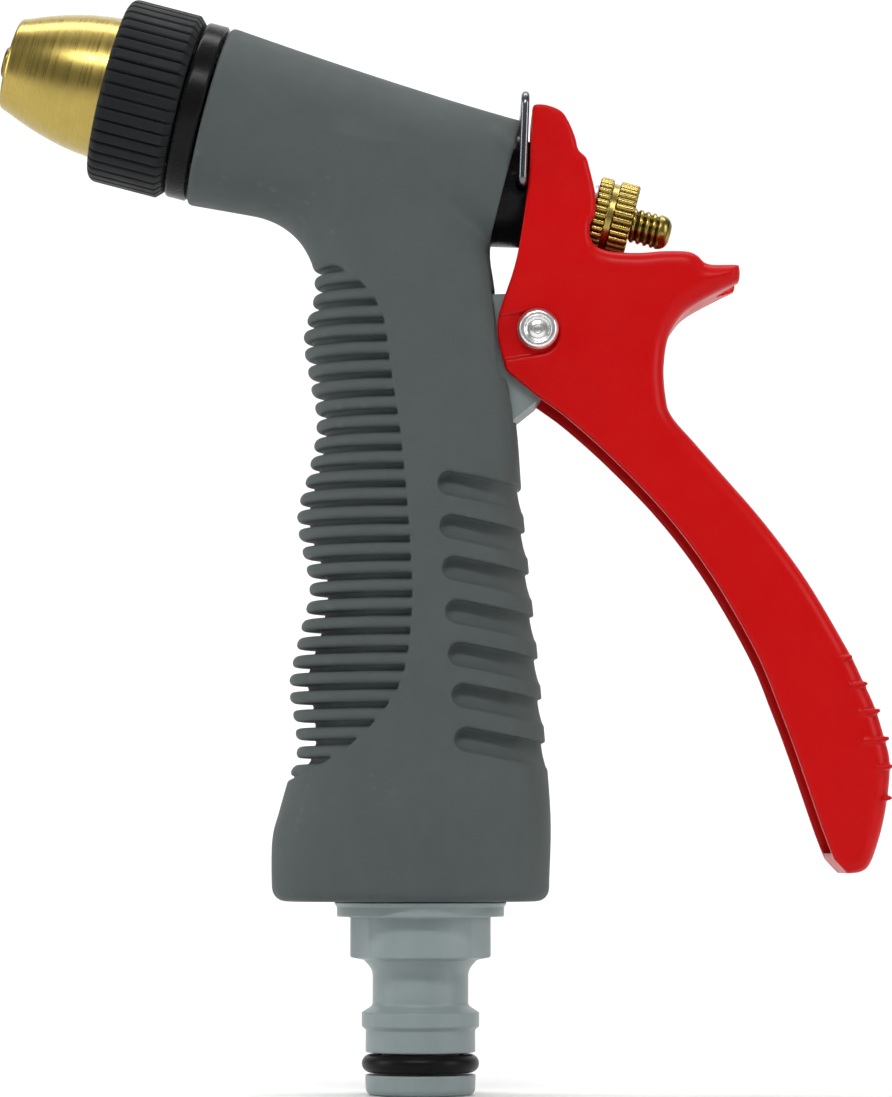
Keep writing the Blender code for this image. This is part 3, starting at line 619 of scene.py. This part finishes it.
def rib_zone(grip, x, z):
    """The ribbed front: thin round fins standing on a floor sunk into the grip."""
    phase = (z - RIB_FIRST) / RIB_PITCH
    beside = np.abs(phase - np.round(phase)) * RIB_PITCH
    fins = blend_max(grip, beside - RIB_HALF, 0.9)
    deep = np.interp(z, *zip(*SLOT_DEPTH))
    front = np.interp(z, *FRONT_TABLE)
    limit = np.interp(z, LIMIT_HEIGHTS, LIMIT_XS)
    share = np.clip((x - front) / np.maximum(limit - front, 1.0) * 1.6, 0.0, 1.0)
    sunk = deep + (SLOT_SIDE_DEPTH - deep) * share
    return blend_min(fins, grip + sunk, 0.35)


def groove_cut(grip, x, z):
    """Slanting side grooves: a steep upper wall and a floor that rises to the lower edge."""
    rear = np.interp(z, *REAR_TABLE)
    fade = np.interp(x - rear, (-6.0, -0.6), (1.0, 0.28))
    cut = np.full(np.broadcast(grip, x, z).shape, 50.0, np.float32)
    for left, top in GROOVES:
        start = (left + GROOVE_RADIUS, top - GROOVE_RADIUS)
        along = (x - start[0]) * math.cos(GROOVE_FALL) - (z - start[1]) * math.sin(GROOVE_FALL)
        across = (x - start[0]) * math.sin(GROOVE_FALL) + (z - start[1]) * math.cos(GROOVE_FALL)
        pill = np.hypot(np.minimum(along, 0.0), across) - GROOVE_RADIUS
        fall = np.clip((GROOVE_RADIUS - across) / (2 * GROOVE_RADIUS), 0.0, 1.0)
        floor = GROOVE_DEPTH * fade * (1.0 - 0.72 * fall ** 2.2)
        cut = np.minimum(cut, blend_max(pill, -(grip + floor), 0.3))
    return cut


def sleeve_shape(x, y, z):
    """The sleeve: ribbed handle and tapered tube in one, hollow where the core goes."""
    grip = grip_shape(x, y, z)
    limit = np.interp(z, LIMIT_HEIGHTS, LIMIT_XS)
    lean = np.interp(z, LIMIT_HEIGHTS, np.gradient(LIMIT_XS, LIMIT_HEIGHTS))
    smooth = blend_max(grip, (limit - x) / np.sqrt(1.0 + np.minimum(lean ** 2, 9.0)), 0.3)
    handle = np.minimum(smooth, rib_zone(grip, x, z))
    handle = blend_max(handle, -groove_cut(grip, x, z), 0.4)
    handle = blend_max(handle, GRIP_FOOT - z, 2.2)
    handle = np.maximum(handle, z - GRIP_ROOF)
    s, up = barrel_place(x, z)
    out = np.hypot(up, y)
    share = np.clip((SLEEVE_REAR - s) / (SLEEVE_REAR - SLEEVE_FRONT), 0.0, 1.0)
    radius = SLEEVE_REAR_RADIUS + (SLEEVE_FRONT_RADIUS - SLEEVE_REAR_RADIUS) * share ** 1.5
    radius = radius + UNDER_BULGE * np.clip(-up / np.maximum(out, 1.0), 0.0, 1.0)
    tube = blend_max(blend_max(out - radius, SLEEVE_FRONT - s, 0.9), s - SLEEVE_REAR, 0.4)
    reach = np.interp(x, (-8.0, 5.0), (7.5, 1.4))
    whole = blend_min(handle, tube, reach)
    bore = np.where(s > CORE_TUBE_REAR, CORE_BORE_END, CORE_TUBE_RADIUS)
    whole = np.maximum(whole, bore - out)
    riser = np.minimum(RISER_RADIUS - np.hypot(x - RISER_X, y), RISER_TOP - z)
    whole = np.maximum(whole, riser)
    whole = blend_max(whole, -lever_room(x, y, z), 0.3)
    return blend_max(whole, -ear_slot(x, y, z), 0.4)


def lever_room(x, y, z):
    """The flat behind the hinge that lets the squeezed lever's nose swing past."""
    tall = np.maximum(z - ROOM_TOP, ROOM_FOOT - z)
    return np.maximum(np.maximum(ROOM_FACE - x, np.abs(y) - ROOM_HALF_WIDTH), tall)


# (X, Z): the core's ears, which carry the lever and stand in a slot of the sleeve
EAR = [(4, 115.45), (17.24, 115.74), (20.4, 114.66), (22.08, 111.69), (21.78, 107.64),
       (16.74, 100.03), (13.28, 97.26), (4, 90.35)]
EAR_MIDDLE = np.mean(EAR, axis=0)
EAR_SLOT_GAP, EAR_SLOT_HALF_WIDTH = 0.45, 7.9
EAR_OUTLINE = [
    tuple(np.add(p, np.subtract(p, EAR_MIDDLE) * EAR_SLOT_GAP / math.dist(p, EAR_MIDDLE)))
    for p in EAR]
EAR_FLAT = FlatShape(EAR_OUTLINE, (0.0, 86.0), (26.0, 121.0), 0.25)


def ear_slot(x, y, z):
    """The ears' slot; far from them any positive distance will do."""
    near = (x > 1.0) & (z > 87.0) & (z < 120.0)
    return np.where(near, np.maximum(EAR_FLAT(x, z), np.abs(y) - EAR_SLOT_HALF_WIDTH), 5.0)


points, faces = surface_of(sleeve_shape, (-36.5, -15.0, 26.6), (20.0, 15.0, 157.0),
                           (0.42, 0.42, 0.30))
add_piece("rubber_grip_sleeve", points, faces, RUBBER_SKIN, "root", ["rubber_sleeve"],
          "grip_rubber", sharp=None)


# ---------------------------------------------------------------- lever

LEVER_FRONT = [(16.22, 142.76), (15.92, 136.72), (15.53, 131.08), (13.94, 120.88),
               (11.75, 113.93), (11.12, 111.15), (11.36, 108.17), (12.34, 104.39)]
LEVER_UNDER = [(17.02, 100.52), (21.29, 97.38), (27.95, 91.37), (35.41, 83.51), (41.97, 74.67),
               (48.24, 63.74), (51.52, 55.78), (54.1, 48.83), (57.55, 38.69), (59.31, 34.01)]
LEVER_FOOT = [(61.25, 31.93), (64.14, 32.72)]
LEVER_BACK = [(65.93, 36.9), (67.12, 42.36), (67.57, 47.83), (66.73, 51.7), (65.45, 55.88),
              (63.74, 59.7), (61.88, 63.6), (56.98, 72.14), (53.13, 77.89), (48.71, 83.63),
              (43.8, 89.28), (39.63, 94.06), (36.25, 98.03), (35.45, 100.92), (35.2, 104.99),
              (35.85, 109.3), (37.55, 112.3), (39.5, 114.0), (43.35, 116.1), (45.5, 117.15)]
LEVER_HORN = [(46.15, 117.6), (46.2, 119.4), (45.7, 119.89), (41.68, 119.99), (40.09, 121.19),
              (38.59, 121.78), (35.21, 121.83), (31.83, 121.58), (28.45, 121.68),
              (26.26, 122.09), (24.98, 122.91), (24.47, 124.28), (24.57, 125.86),
              (25.17, 126.78), (25.32, 127.8), (25.27, 130.34), (24.47, 133.91), (23.98, 135.42),
              (22.88, 136.56), (22.39, 138.44), (21.4, 140.75), (20.3, 142.18), (18.22, 142.96),
              (16.72, 143.06)]
LEVER_HOLLOW_TOP = [(11.95, 141.27), (18.32, 141.08), (19.5, 138.39), (21.09, 135.4),
                    (22.19, 130.43), (21.89, 122.39), (24.37, 120.1), (30.84, 119.9),
                    (34.82, 119.5), (35.02, 116.52)]
# (X, Z) of the small palm ridges' crests and how far each runs in from the back
PALM_RIDGES = [((61.85, 63.0), 1.2), ((63.95, 59.2), 2.0), ((65.75, 55.3), 2.6),
               ((67.0, 51.3), 3.4), ((67.5, 47.3), 1.8), ((67.35, 42.8), 0.8)]
PALM_RIDGE_RADIUS, PALM_RIDGE_TILT, PALM_RIDGE_OVERHANG = 0.3, 0.1, 0.16
PAD_RADIUS, PAD_DEPTH = 3.15, 0.4       # the sunk pad round the rivet
# the slot that the stem passes through: half height, radius, middle and where it starts
SLOT_HALF, SLOT_RADIUS, SLOT_UP, SLOT_FRONT = 2.4, 3.1, -0.7, 79.0


def shifted(points, distance):
    """An open line moved sideways, to the left of its direction."""
    line = [Vector(p) for p in points]
    moved = []
    for i, point in enumerate(line):
        ahead = line[min(i + 1, len(line) - 1)] - line[max(i - 1, 0)]
        moved.append(tuple(point + Vector((-ahead.y, ahead.x)).normalized() * distance))
    return moved


LEVER_LOW, LEVER_HIGH = (6.0, 29.0), (72.0, 148.0)
front_line = flowing(LEVER_FRONT) + flowing(LEVER_UNDER)
LEVER_OUTLINE = front_line + flowing(LEVER_FOOT + LEVER_BACK + LEVER_HORN, 5)
LEVER_FLAT = FlatShape(LEVER_OUTLINE, LEVER_LOW, LEVER_HIGH)
hollow = [(9.5, 96.0)] + shifted(LEVER_UNDER[:-1], -4.0)[1:] + [(62.0, 33.6)]
hollow += flowing(shifted(LEVER_BACK[:-5], LEVER_WALL)[1:] + list(reversed(LEVER_HOLLOW_TOP)), 4)
hollow += [(6.5, 141.0)]
HOLLOW_FLAT = FlatShape(hollow, LEVER_LOW, LEVER_HIGH)
FRONT_NEAR = FlatShape(front_line + shifted(front_line[::-1], 0.01), LEVER_LOW, LEVER_HIGH, 0.3)


def pulled_place(x, z):
    """Where a point of the lever lies along and above the nut's axis at full squeeze."""
    dx, dz = x - PIVOT_X, z - PIVOT_Z
    c, s = math.cos(PULL_ANGLE), math.sin(PULL_ANGLE)
    along, up = barrel_place(PIVOT_X + dx * c + dz * s, PIVOT_Z - dx * s + dz * c)
    return along - PULL_SLIDE, up


def lever_shape(x, y, z):
    """The lever: a hollow channel with rounded outer edges, pad, ridges, slot and cradle."""
    flat = LEVER_FLAT(x, z)
    open_side = np.abs(FRONT_NEAR(x, z))
    head = np.interp(z, (118.0, 124.0), (1.0, 0.45))
    edge = np.interp(open_side, (1.5, 6.0), (0.45, 2.7)) * head
    a, b = flat + edge, np.abs(y) - LEVER_HALF_WIDTH + edge
    body = (np.minimum(np.maximum(a, b), 0.0)
            + np.hypot(np.maximum(a, 0.0), np.maximum(b, 0.0)) - edge)
    pad = segment_distance(x, z, (PIVOT_X, PIVOT_Z - 0.45), (PIVOT_X - 9.0, PIVOT_Z - 1.9))
    pad = np.maximum(pad - PAD_RADIUS, LEVER_HALF_WIDTH - PAD_DEPTH - np.abs(y))
    body = blend_max(body, -pad, 0.22)
    for (rx, rz), run in PALM_RIDGES:
        inward = Vector((PIVOT_X - rx, PIVOT_Z - rz)).normalized()
        inward = Vector((-inward.y, inward.x)) if inward.x > 0 else inward
        inward = Vector((-abs(inward.x), -abs(inward.y) * PALM_RIDGE_TILT)).normalized()
        end = (rx + inward.x * run, rz + inward.y * run)
        ridge = segment_distance(x, z, (rx, rz), end) - PALM_RIDGE_RADIUS
        beside = np.abs(y) - LEVER_HALF_WIDTH - PALM_RIDGE_OVERHANG
        body = blend_min(body, np.maximum(ridge, beside), 0.3)
    inside = blend_max(HOLLOW_FLAT(x, z), np.abs(y) - LEVER_INNER, 1.2)
    body = blend_max(body, -inside, 0.4)
    s, up = barrel_place(x, z)
    slot = np.hypot(np.maximum(np.abs(up - SLOT_UP) - SLOT_HALF, 0.0), y) - SLOT_RADIUS
    slot = np.maximum(slot, SLOT_FRONT - s)
    body = blend_max(body, -slot, 0.3)
    for along, above in ((s, up), pulled_place(x, z)):
        cradle = np.maximum(np.hypot(above, y) - CRADLE_RADIUS, CRADLE_FLOOR - along)
        body = np.maximum(body, -cradle)
    return np.maximum(body, PIVOT_HOLE - np.hypot(x - PIVOT_X, z - PIVOT_Z))


points, faces = surface_of(lever_shape, (10.5, -10.4, 31.0), (70.0, 10.4, 145.4),
                           (0.38, 0.38, 0.38))
add_piece("squeeze_lever", points, faces, RED_SKIN, "trigger", ["trigger_lever"],
          "red_paint", sharp=None)


# ---------------------------------------------------------------- nozzle and barrel

TIP_RADIUS, TIP_DROP, TIP_OGIVE, TIP_POWER = 10.5, 4.0, 16.0, 1.865
COLLAR_FRONT, COLLAR_REAR, COLLAR_RADIUS, COLLAR_BORE = 15.0, 26.3, 13.7, 10.8
COLLAR_RIBS, RIB_RELIEF = 46, 0.55


def tip_radius(s):
    return TIP_RADIUS - TIP_DROP * max(0.0, 1.0 - s / TIP_OGIVE) ** TIP_POWER


def make_tip():
    """The nozzle's rounded nose, orifice and bore, with a groove for its O-ring."""
    corners = [(TIP_RADIUS, 25.6, 0.2)]
    corners += [(tip_radius(s), s) for s in np.arange(16.0, 1.0, -0.75)]
    corners += [(tip_radius(0.5) - 0.1, 0.0, 0.75), (3.75, 0.0, 0.15), (3.6, 0.3, 0.1),
                (2.65, 0.3, 0.15), (2.55, 1.6), (6.7, 6.6), (6.7, 11.2), (8.1, 11.2),
                (8.1, 12.9), (6.7, 12.9), (6.7, 13.9), (8.35, 13.9), (8.35, 25.6, 0.2)]
    return revolve(corners, 128)


def collar_ribs(radius, height, angle):
    """Flat-topped lengthwise ribs with narrow rounded slots between them."""
    wave = np.abs(np.sin(angle * COLLAR_RIBS / 2))
    top = np.clip(wave * 2.1, 0.0, 1.0) ** 0.8
    outer = np.clip((radius - (COLLAR_RADIUS - 1.3)) / 1.3, 0.0, 1.0)
    return radius - RIB_RELIEF * (1.0 - top) * outer


def make_collar():
    corners = [(COLLAR_RADIUS - 0.9, COLLAR_REAR, 0.35), (COLLAR_RADIUS, COLLAR_REAR - 0.9, 0.4),
               (COLLAR_RADIUS, COLLAR_FRONT, 1.3), (COLLAR_BORE, COLLAR_FRONT, 0.3),
               (COLLAR_BORE, COLLAR_REAR, 0.2)]
    return revolve(corners, COLLAR_RIBS * 12, collar_ribs, 6)


def make_front_ring():
    """The barrel's tube, open along its axis, and the ring that shows in front of the sleeve."""
    corners = [(7.6, 73.9, 0.1), (7.6, RING_REAR), (12.8, RING_REAR, 0.2),
               (13.1, RING_REAR - 0.3, 0.2), (13.1, RING_FRONT, 0.7), (8.05, RING_FRONT, 0.2),
               (8.05, 14.2), (6.4, 14.2), (6.4, 8.4, 0.3), (5.9, 7.8, 0.2), (4.6, 7.8),
               (4.6, 36.0), (5.4, 36.0), (5.4, 69.95), (6.3, 69.95), (6.3, 73.9)]
    return revolve(corners, 112)


def bonnet_shape(x, y, z):
    """The cone that closes the barrel, bored for the stem, with a boss on each side."""
    s, up = barrel_place(x, z)
    out = np.hypot(up, y)
    outer = np.interp(s, (74.2, 74.7, 78.7, 80.3), (8.4, 8.35, 7.45, 6.75))
    cone = blend_max(blend_max((out - outer) * 0.97, 74.2 - s, 0.25), s - 80.3, 0.5)
    cone = np.minimum(cone, np.maximum(out - 6.05, np.maximum(70.25 - s, s - 75.0)))
    ends = np.hypot(s - BAIL_S, up - BAIL_UP)
    pad = blend_max(ends - 1.85, np.abs(y) - 7.75, 0.5)
    whole = blend_min(cone, np.maximum(pad, 5.0 - np.abs(y)), 0.7)
    hole = np.maximum(ends - 0.85, 5.6 - np.abs(y))
    whole = blend_max(whole, -hole, 0.25)
    return np.maximum(whole, 2.95 - out)


def add_turned(name, shape, material, body, nodes, slot, frame_matrix=BARREL, sharp=40.0):
    """A piece made about an axis of its own, by default the barrel's."""
    return add_piece(name, *shape, material, body, nodes, slot, frame_matrix, sharp)


add_turned("brass_nozzle_tip", make_tip(), BRASS_SKIN, "nozzle", ["nozzle_tip"], "brass")
add_turned("ribbed_collar", make_collar(), COLLAR_SKIN, "nozzle", ["nozzle_grip_ring"],
           "collar_rubber", sharp=60.0)
add_turned("barrel_tube", make_front_ring(), BLACK_SKIN, "root", ["barrel_body"],
           "black_plastic")
points, faces = surface_of(bonnet_shape, (8.0, -9.2, 120.0), (25.0, 9.2, 145.0), (0.2,) * 3)
add_piece("rear_cone", points, faces, BLACK_SKIN, "root", ["rear_bonnet"], "black_plastic",
          sharp=None)


# ---------------------------------------------------------------- connector

ORING_HEIGHT, ORING_WIRE, ORING_CENTRE = 4.55, 1.35, 7.15


def connector_flats(radius, height, angle):
    """Two flats, left and right, cut into the big section below the flange."""
    big = (height > 19.7) & (height < 25.7) & (radius > 8.9)
    limit = np.full(np.broadcast(radius, angle).shape, 99.0)
    for middle in (math.radians(207.0), math.radians(333.0)):
        turn = np.cos(angle - middle)
        limit = np.where(turn > 0.3, np.minimum(limit, 9.72 / np.maximum(turn, 0.3)), limit)
    return np.where(big, np.minimum(radius, limit), radius)


def make_connector():
    """The tail from the spigot's top down to the tip, and back up its water bore."""
    low = ORING_HEIGHT - ORING_WIRE - 0.25
    high = ORING_HEIGHT + ORING_WIRE + 0.25
    corners = [(7.5, 42.0, 0.3), (7.5, 27.8, 0.1), (12.6, 27.8, 0.15), (12.15, 27.1, 0.15),
               (12.15, 25.7, 0.25), (10.2, 25.6, 0.15), (10.2, 19.85, 0.3),
               (8.2, 19.45, 0.7), (6.95, 18.0, 2.2), (6.95, 12.9, 0.8), (8.53, 11.9, 0.25),
               (8.53, 9.9, 0.35), (7.95, 9.4, 0.25), (7.95, high, 0.2), (5.65, high),
               (5.65, low), (8.0, low, 0.2), (7.9, 0.0, 0.95), (4.6, 0.0, 0.3), (4.6, 42.0)]
    return revolve(corners, 120, connector_flats, 5)


def make_connector_ring():
    angles = np.arange(24) * (-math.tau / 24)
    corners = [(ORING_CENTRE + ORING_WIRE * math.cos(a), ORING_HEIGHT + ORING_WIRE * math.sin(a))
               for a in angles]
    return revolve(corners, 96)


add_turned("quick_connector", make_connector(), GREY_SKIN, "root", ["inlet_connector"],
           "grey_plastic", UPRIGHT, 35.0)
add_turned("connector_seal_ring", make_connector_ring(), SEAL_SKIN, "root",
           ["connector_oring"], "seal_rubber", UPRIGHT)


# ---------------------------------------------------------------- stem, nut, rivet and bail

THREAD_PITCH, THREAD_DEPTH, THREAD_START = 1.0, 0.42, 82.0
NUT_GROOVE_FRONT, NUT_GROOVE_REAR, NUT_GROOVE_RADIUS, FLUTE_DEPTH = 90.0, 91.2, 5.25, 0.42


def stem_thread(radius, height, angle):
    """A helical V thread with rounded crests on the free end of the stem."""
    turn = (height / THREAD_PITCH - angle / math.tau) % 1.0
    groove = np.clip(1.0 - np.abs(turn - 0.5) * 2.9, 0.0, 1.0)
    ends = np.clip((height - THREAD_START) / 1.5, 0.0, 1.0)
    ends = ends * np.clip((STEM_END - 1.8 - height) / 0.3, 0.0, 1.0)
    return radius - THREAD_DEPTH * groove * ends * (radius > STEM_RADIUS - 0.01)


def make_stem():
    """The rod from its domed free end, past the washer's collar, to the needle in the nozzle."""
    corners = [(0.0, STEM_END)]
    for i in range(1, 9):
        a = math.radians(90.0 * i / 8)
        rise = DOME * (1.0 - math.cos(a))
        corners.append((STEM_RADIUS - DOME + DOME * math.sin(a), STEM_END - rise))
    corners += [(STEM_RADIUS, s) for s in np.arange(STEM_END - DOME - 0.1, THREAD_START, -0.08)]
    corners += [(STEM_RADIUS, 45.2), (4.9, 45.2, 0.2), (4.9, 43.2), (2.0, 43.2), (2.0, 4.0),
                (2.35, 3.4), (2.35, -0.7, 0.2), (2.05, -1.0), (0.0, -1.0)]
    return revolve(corners, 72, stem_thread)


def nut_flutes(radius, height, angle):
    """Coarse straight knurling with flat crests, worn a little."""
    wave = np.abs(np.cos(angle * NUT_FLUTES / 2))
    outer = np.clip((radius - NUT_GROOVE_RADIUS) / 0.4, 0.0, 1.0)
    return radius - FLUTE_DEPTH * np.clip(1.0 - wave * 1.25, 0.0, 1.0) * outer


def make_nut():
    """Two fluted rims with a plain groove between them."""
    groove = NUT_GROOVE_RADIUS
    corners = [(NUT_RADIUS, NUT_REAR, 0.4), (NUT_RADIUS, NUT_GROOVE_REAR, 0.15),
               (groove, NUT_GROOVE_REAR - 0.15, 0.15), (groove, NUT_GROOVE_FRONT + 0.15, 0.15),
               (NUT_RADIUS, NUT_GROOVE_FRONT, 0.15), (NUT_RADIUS, NUT_FRONT, 0.4),
               (NUT_BORE, NUT_FRONT, 0.2), (NUT_BORE, NUT_REAR, 0.3)]
    return revolve(corners, NUT_FLUTES * 8, nut_flutes)


def make_washer():
    corners = [(WASHER_RADIUS, WASHER_REAR, 0.1), (WASHER_RADIUS, WASHER_FRONT, 0.1),
               (WASHER_BORE, WASHER_FRONT), (WASHER_BORE, WASHER_REAR)]
    return revolve(corners, 64)


def make_rivet():
    """A tubular rivet with a rolled rim on the near side and a formed head on the far side."""
    outer = LEVER_HALF_WIDTH + 0.1
    corners = [(0.0, outer + 0.35), (0.75, outer + 0.5, 0.4), (1.3, outer + 0.25, 0.15),
               (1.62, outer + 0.3, 0.15), (1.95, outer + 1.12, 0.25), (2.55, outer + 1.1, 0.4),
               (3.03, outer + 0.45, 0.3), (2.9, outer, 0.1), (1.6, outer), (1.6, -outer),
               (2.9, -outer, 0.1), (3.03, -outer - 0.45, 0.4), (2.2, -outer - 1.05, 0.6),
               (0.0, -outer - 1.15)]
    return revolve(corners, 72)


def make_bail():
    """The wire loop as a round tube swept along its path, from one end to the other."""
    corner, foot = 1.8, 0.9
    side, top = BAIL_HALF_WIDTH, BAIL_REACH
    half = [(6.0, 0.0), (7.5, 0.0)]
    for centre, radius, start in (((side - foot, foot), foot, -90.0),
                                  ((side - corner, top - corner), corner, 0.0)):
        for i in range(13):
            a = math.radians(start + 90.0 * i / 12)
            half.append((centre[0] + radius * math.cos(a), centre[1] + radius * math.sin(a)))
    path = [Vector((0.0, y, z)) for y, z in half]
    path += [Vector((0.0, -y, z)) for y, z in reversed(half)]
    sides = 20
    points, faces = [], []
    for i, place in enumerate(path):
        ahead = (path[min(i + 1, len(path) - 1)] - path[max(i - 1, 0)]).normalized()
        across = ahead.cross(Vector((1.0, 0.0, 0.0)))
        for j in range(sides):
            a = math.tau * j / sides
            points.append(place + BAIL_WIRE_RADIUS * (math.cos(a) * across
                                                      + math.sin(a) * Vector((1.0, 0.0, 0.0))))
    for i in range(len(path) - 1):
        for j in range(sides):
            k = (j + 1) % sides
            faces.append((i * sides + j, i * sides + k, (i + 1) * sides + k, (i + 1) * sides + j))
    last = (len(path) - 1) * sides
    faces.append(tuple(reversed(range(sides))))
    faces.append(tuple(range(last, last + sides)))
    return [tuple(p) for p in points], faces


BAIL_FRAME = Matrix.Translation(along_barrel(BAIL_S, BAIL_UP)) @ Matrix.Rotation(
    BAIL_LEAN, 4, "Y")
add_turned("needle_valve_rod", make_stem(), STEM_SKIN, "stem", ["valve_stem"], "brass")
add_turned("knurled_flow_nut", make_nut(), NUT_SKIN, "nut", ["adjusting_nut"], "brass")
add_turned("nut_washer", make_washer(), STEEL_SKIN, "nut_carrier", ["thrust_washer"],
           "spring_steel")
add_turned("hinge_rivet", make_rivet(), NICKEL_SKIN, "root", ["pivot_rivet"], "nickel", CROSS)
add_turned("lock_wire", make_bail(), WIRE_SKIN, "bail", ["wire_bail"], "wire_chrome", BAIL_FRAME)


# ---------------------------------------------------------------- camera, floor and light

CAMERA_DISTANCE, CAMERA_ELEVATION = 700.0, -3.6
AIM = Vector((3.7, 0.0, 79.2))
FRAME_HEIGHT, SENSOR = 159.9, 36.0


def make_camera():
    data = bpy.data.cameras.new("view_camera")
    data.sensor_fit = "VERTICAL"
    data.sensor_height = SENSOR
    data.lens = SENSOR * CAMERA_DISTANCE / FRAME_HEIGHT
    data.clip_start, data.clip_end = 0.01, 20.0
    data.dof.use_dof = False
    camera = bpy.data.objects.new("view_camera", data)
    bpy.context.scene.collection.objects.link(camera)
    angle = math.radians(CAMERA_ELEVATION)
    back = Vector((0.0, -math.cos(angle), math.sin(angle)))
    camera.location = (AIM + back * CAMERA_DISTANCE) * MM
    camera.rotation_euler = back.to_track_quat("Z", "Y").to_euler()
    bpy.context.scene.camera = camera


def add_light(name, place, size, watts, aim=(0.0, 0.0, 85.0)):
    """A white rectangular lamp at a place, turned towards its aim."""
    data = bpy.data.lights.new(name, "AREA")
    data.shape = "RECTANGLE"
    data.size, data.size_y = size[0] * MM, size[1] * MM
    data.energy = watts
    light = bpy.data.objects.new(name, data)
    bpy.context.scene.collection.objects.link(light)
    light.location = Vector(place) * MM
    light.rotation_euler = (Vector(place) - Vector(aim)).to_track_quat("Z", "Y").to_euler()


def make_floor():
    """A plain pale sheet that sweeps up behind the gun."""
    surface = Surface("pale_floor", (0.86, 0.86, 0.86), 0.85)
    surface.tint(surface.spread(surface.noise(60.0, 2.0), 0.0, 0.1), (0.84, 0.84, 0.84))
    width, front, bend, radius, height = 2600.0, -1500.0, 500.0, 600.0, 2200.0
    line = [(front, 0.0), (bend, 0.0)]
    for i in range(1, 25):
        a = math.radians(90.0 * i / 24)
        line.append((bend + radius * math.sin(a), radius * (1.0 - math.cos(a))))
    line.append((bend + radius, height))
    points = [Vector((x, y, z - 0.05)) * MM for y, z in line for x in (-width, width)]
    faces = [(2 * i, 2 * i + 1, 2 * i + 3, 2 * i + 2) for i in range(len(line) - 1)]
    mesh = bpy.data.meshes.new("pale_floor")
    mesh.from_pydata(points, [], faces)
    mesh.shade_smooth()
    mesh.materials.append(surface.material)
    item = bpy.data.objects.new("pale_floor", mesh)
    bpy.context.scene.collection.objects.link(item)


def make_world():
    world = bpy.data.worlds.new("soft_studio")
    world.use_nodes = True
    sky = world.node_tree.nodes["Background"]
    sky.inputs["Color"].default_value = (1.0, 1.0, 1.0, 1.0)
    sky.inputs["Strength"].default_value = 0.20
    bpy.context.scene.world = world


make_camera()
make_floor()
make_world()
add_light("left_softbox", (-760.0, -120.0, 300.0), (300.0, 460.0), 2.2)
add_light("right_softbox", (690.0, -300.0, 280.0), (260.0, 460.0), 1.8)
add_light("key_strip", (-60.0, -520.0, 560.0), (480.0, 90.0), 2.6, (-30.0, 0.0, 120.0))
add_light("top_softbox", (0.0, -60.0, 640.0), (520.0, 200.0), 0.14)
add_light("backdrop_light", (0.0, 300.0, 1300.0), (1400.0, 500.0), 16.0, (0.0, 1100.0, 250.0))
bpy.context.scene.view_settings.view_transform = "Standard"
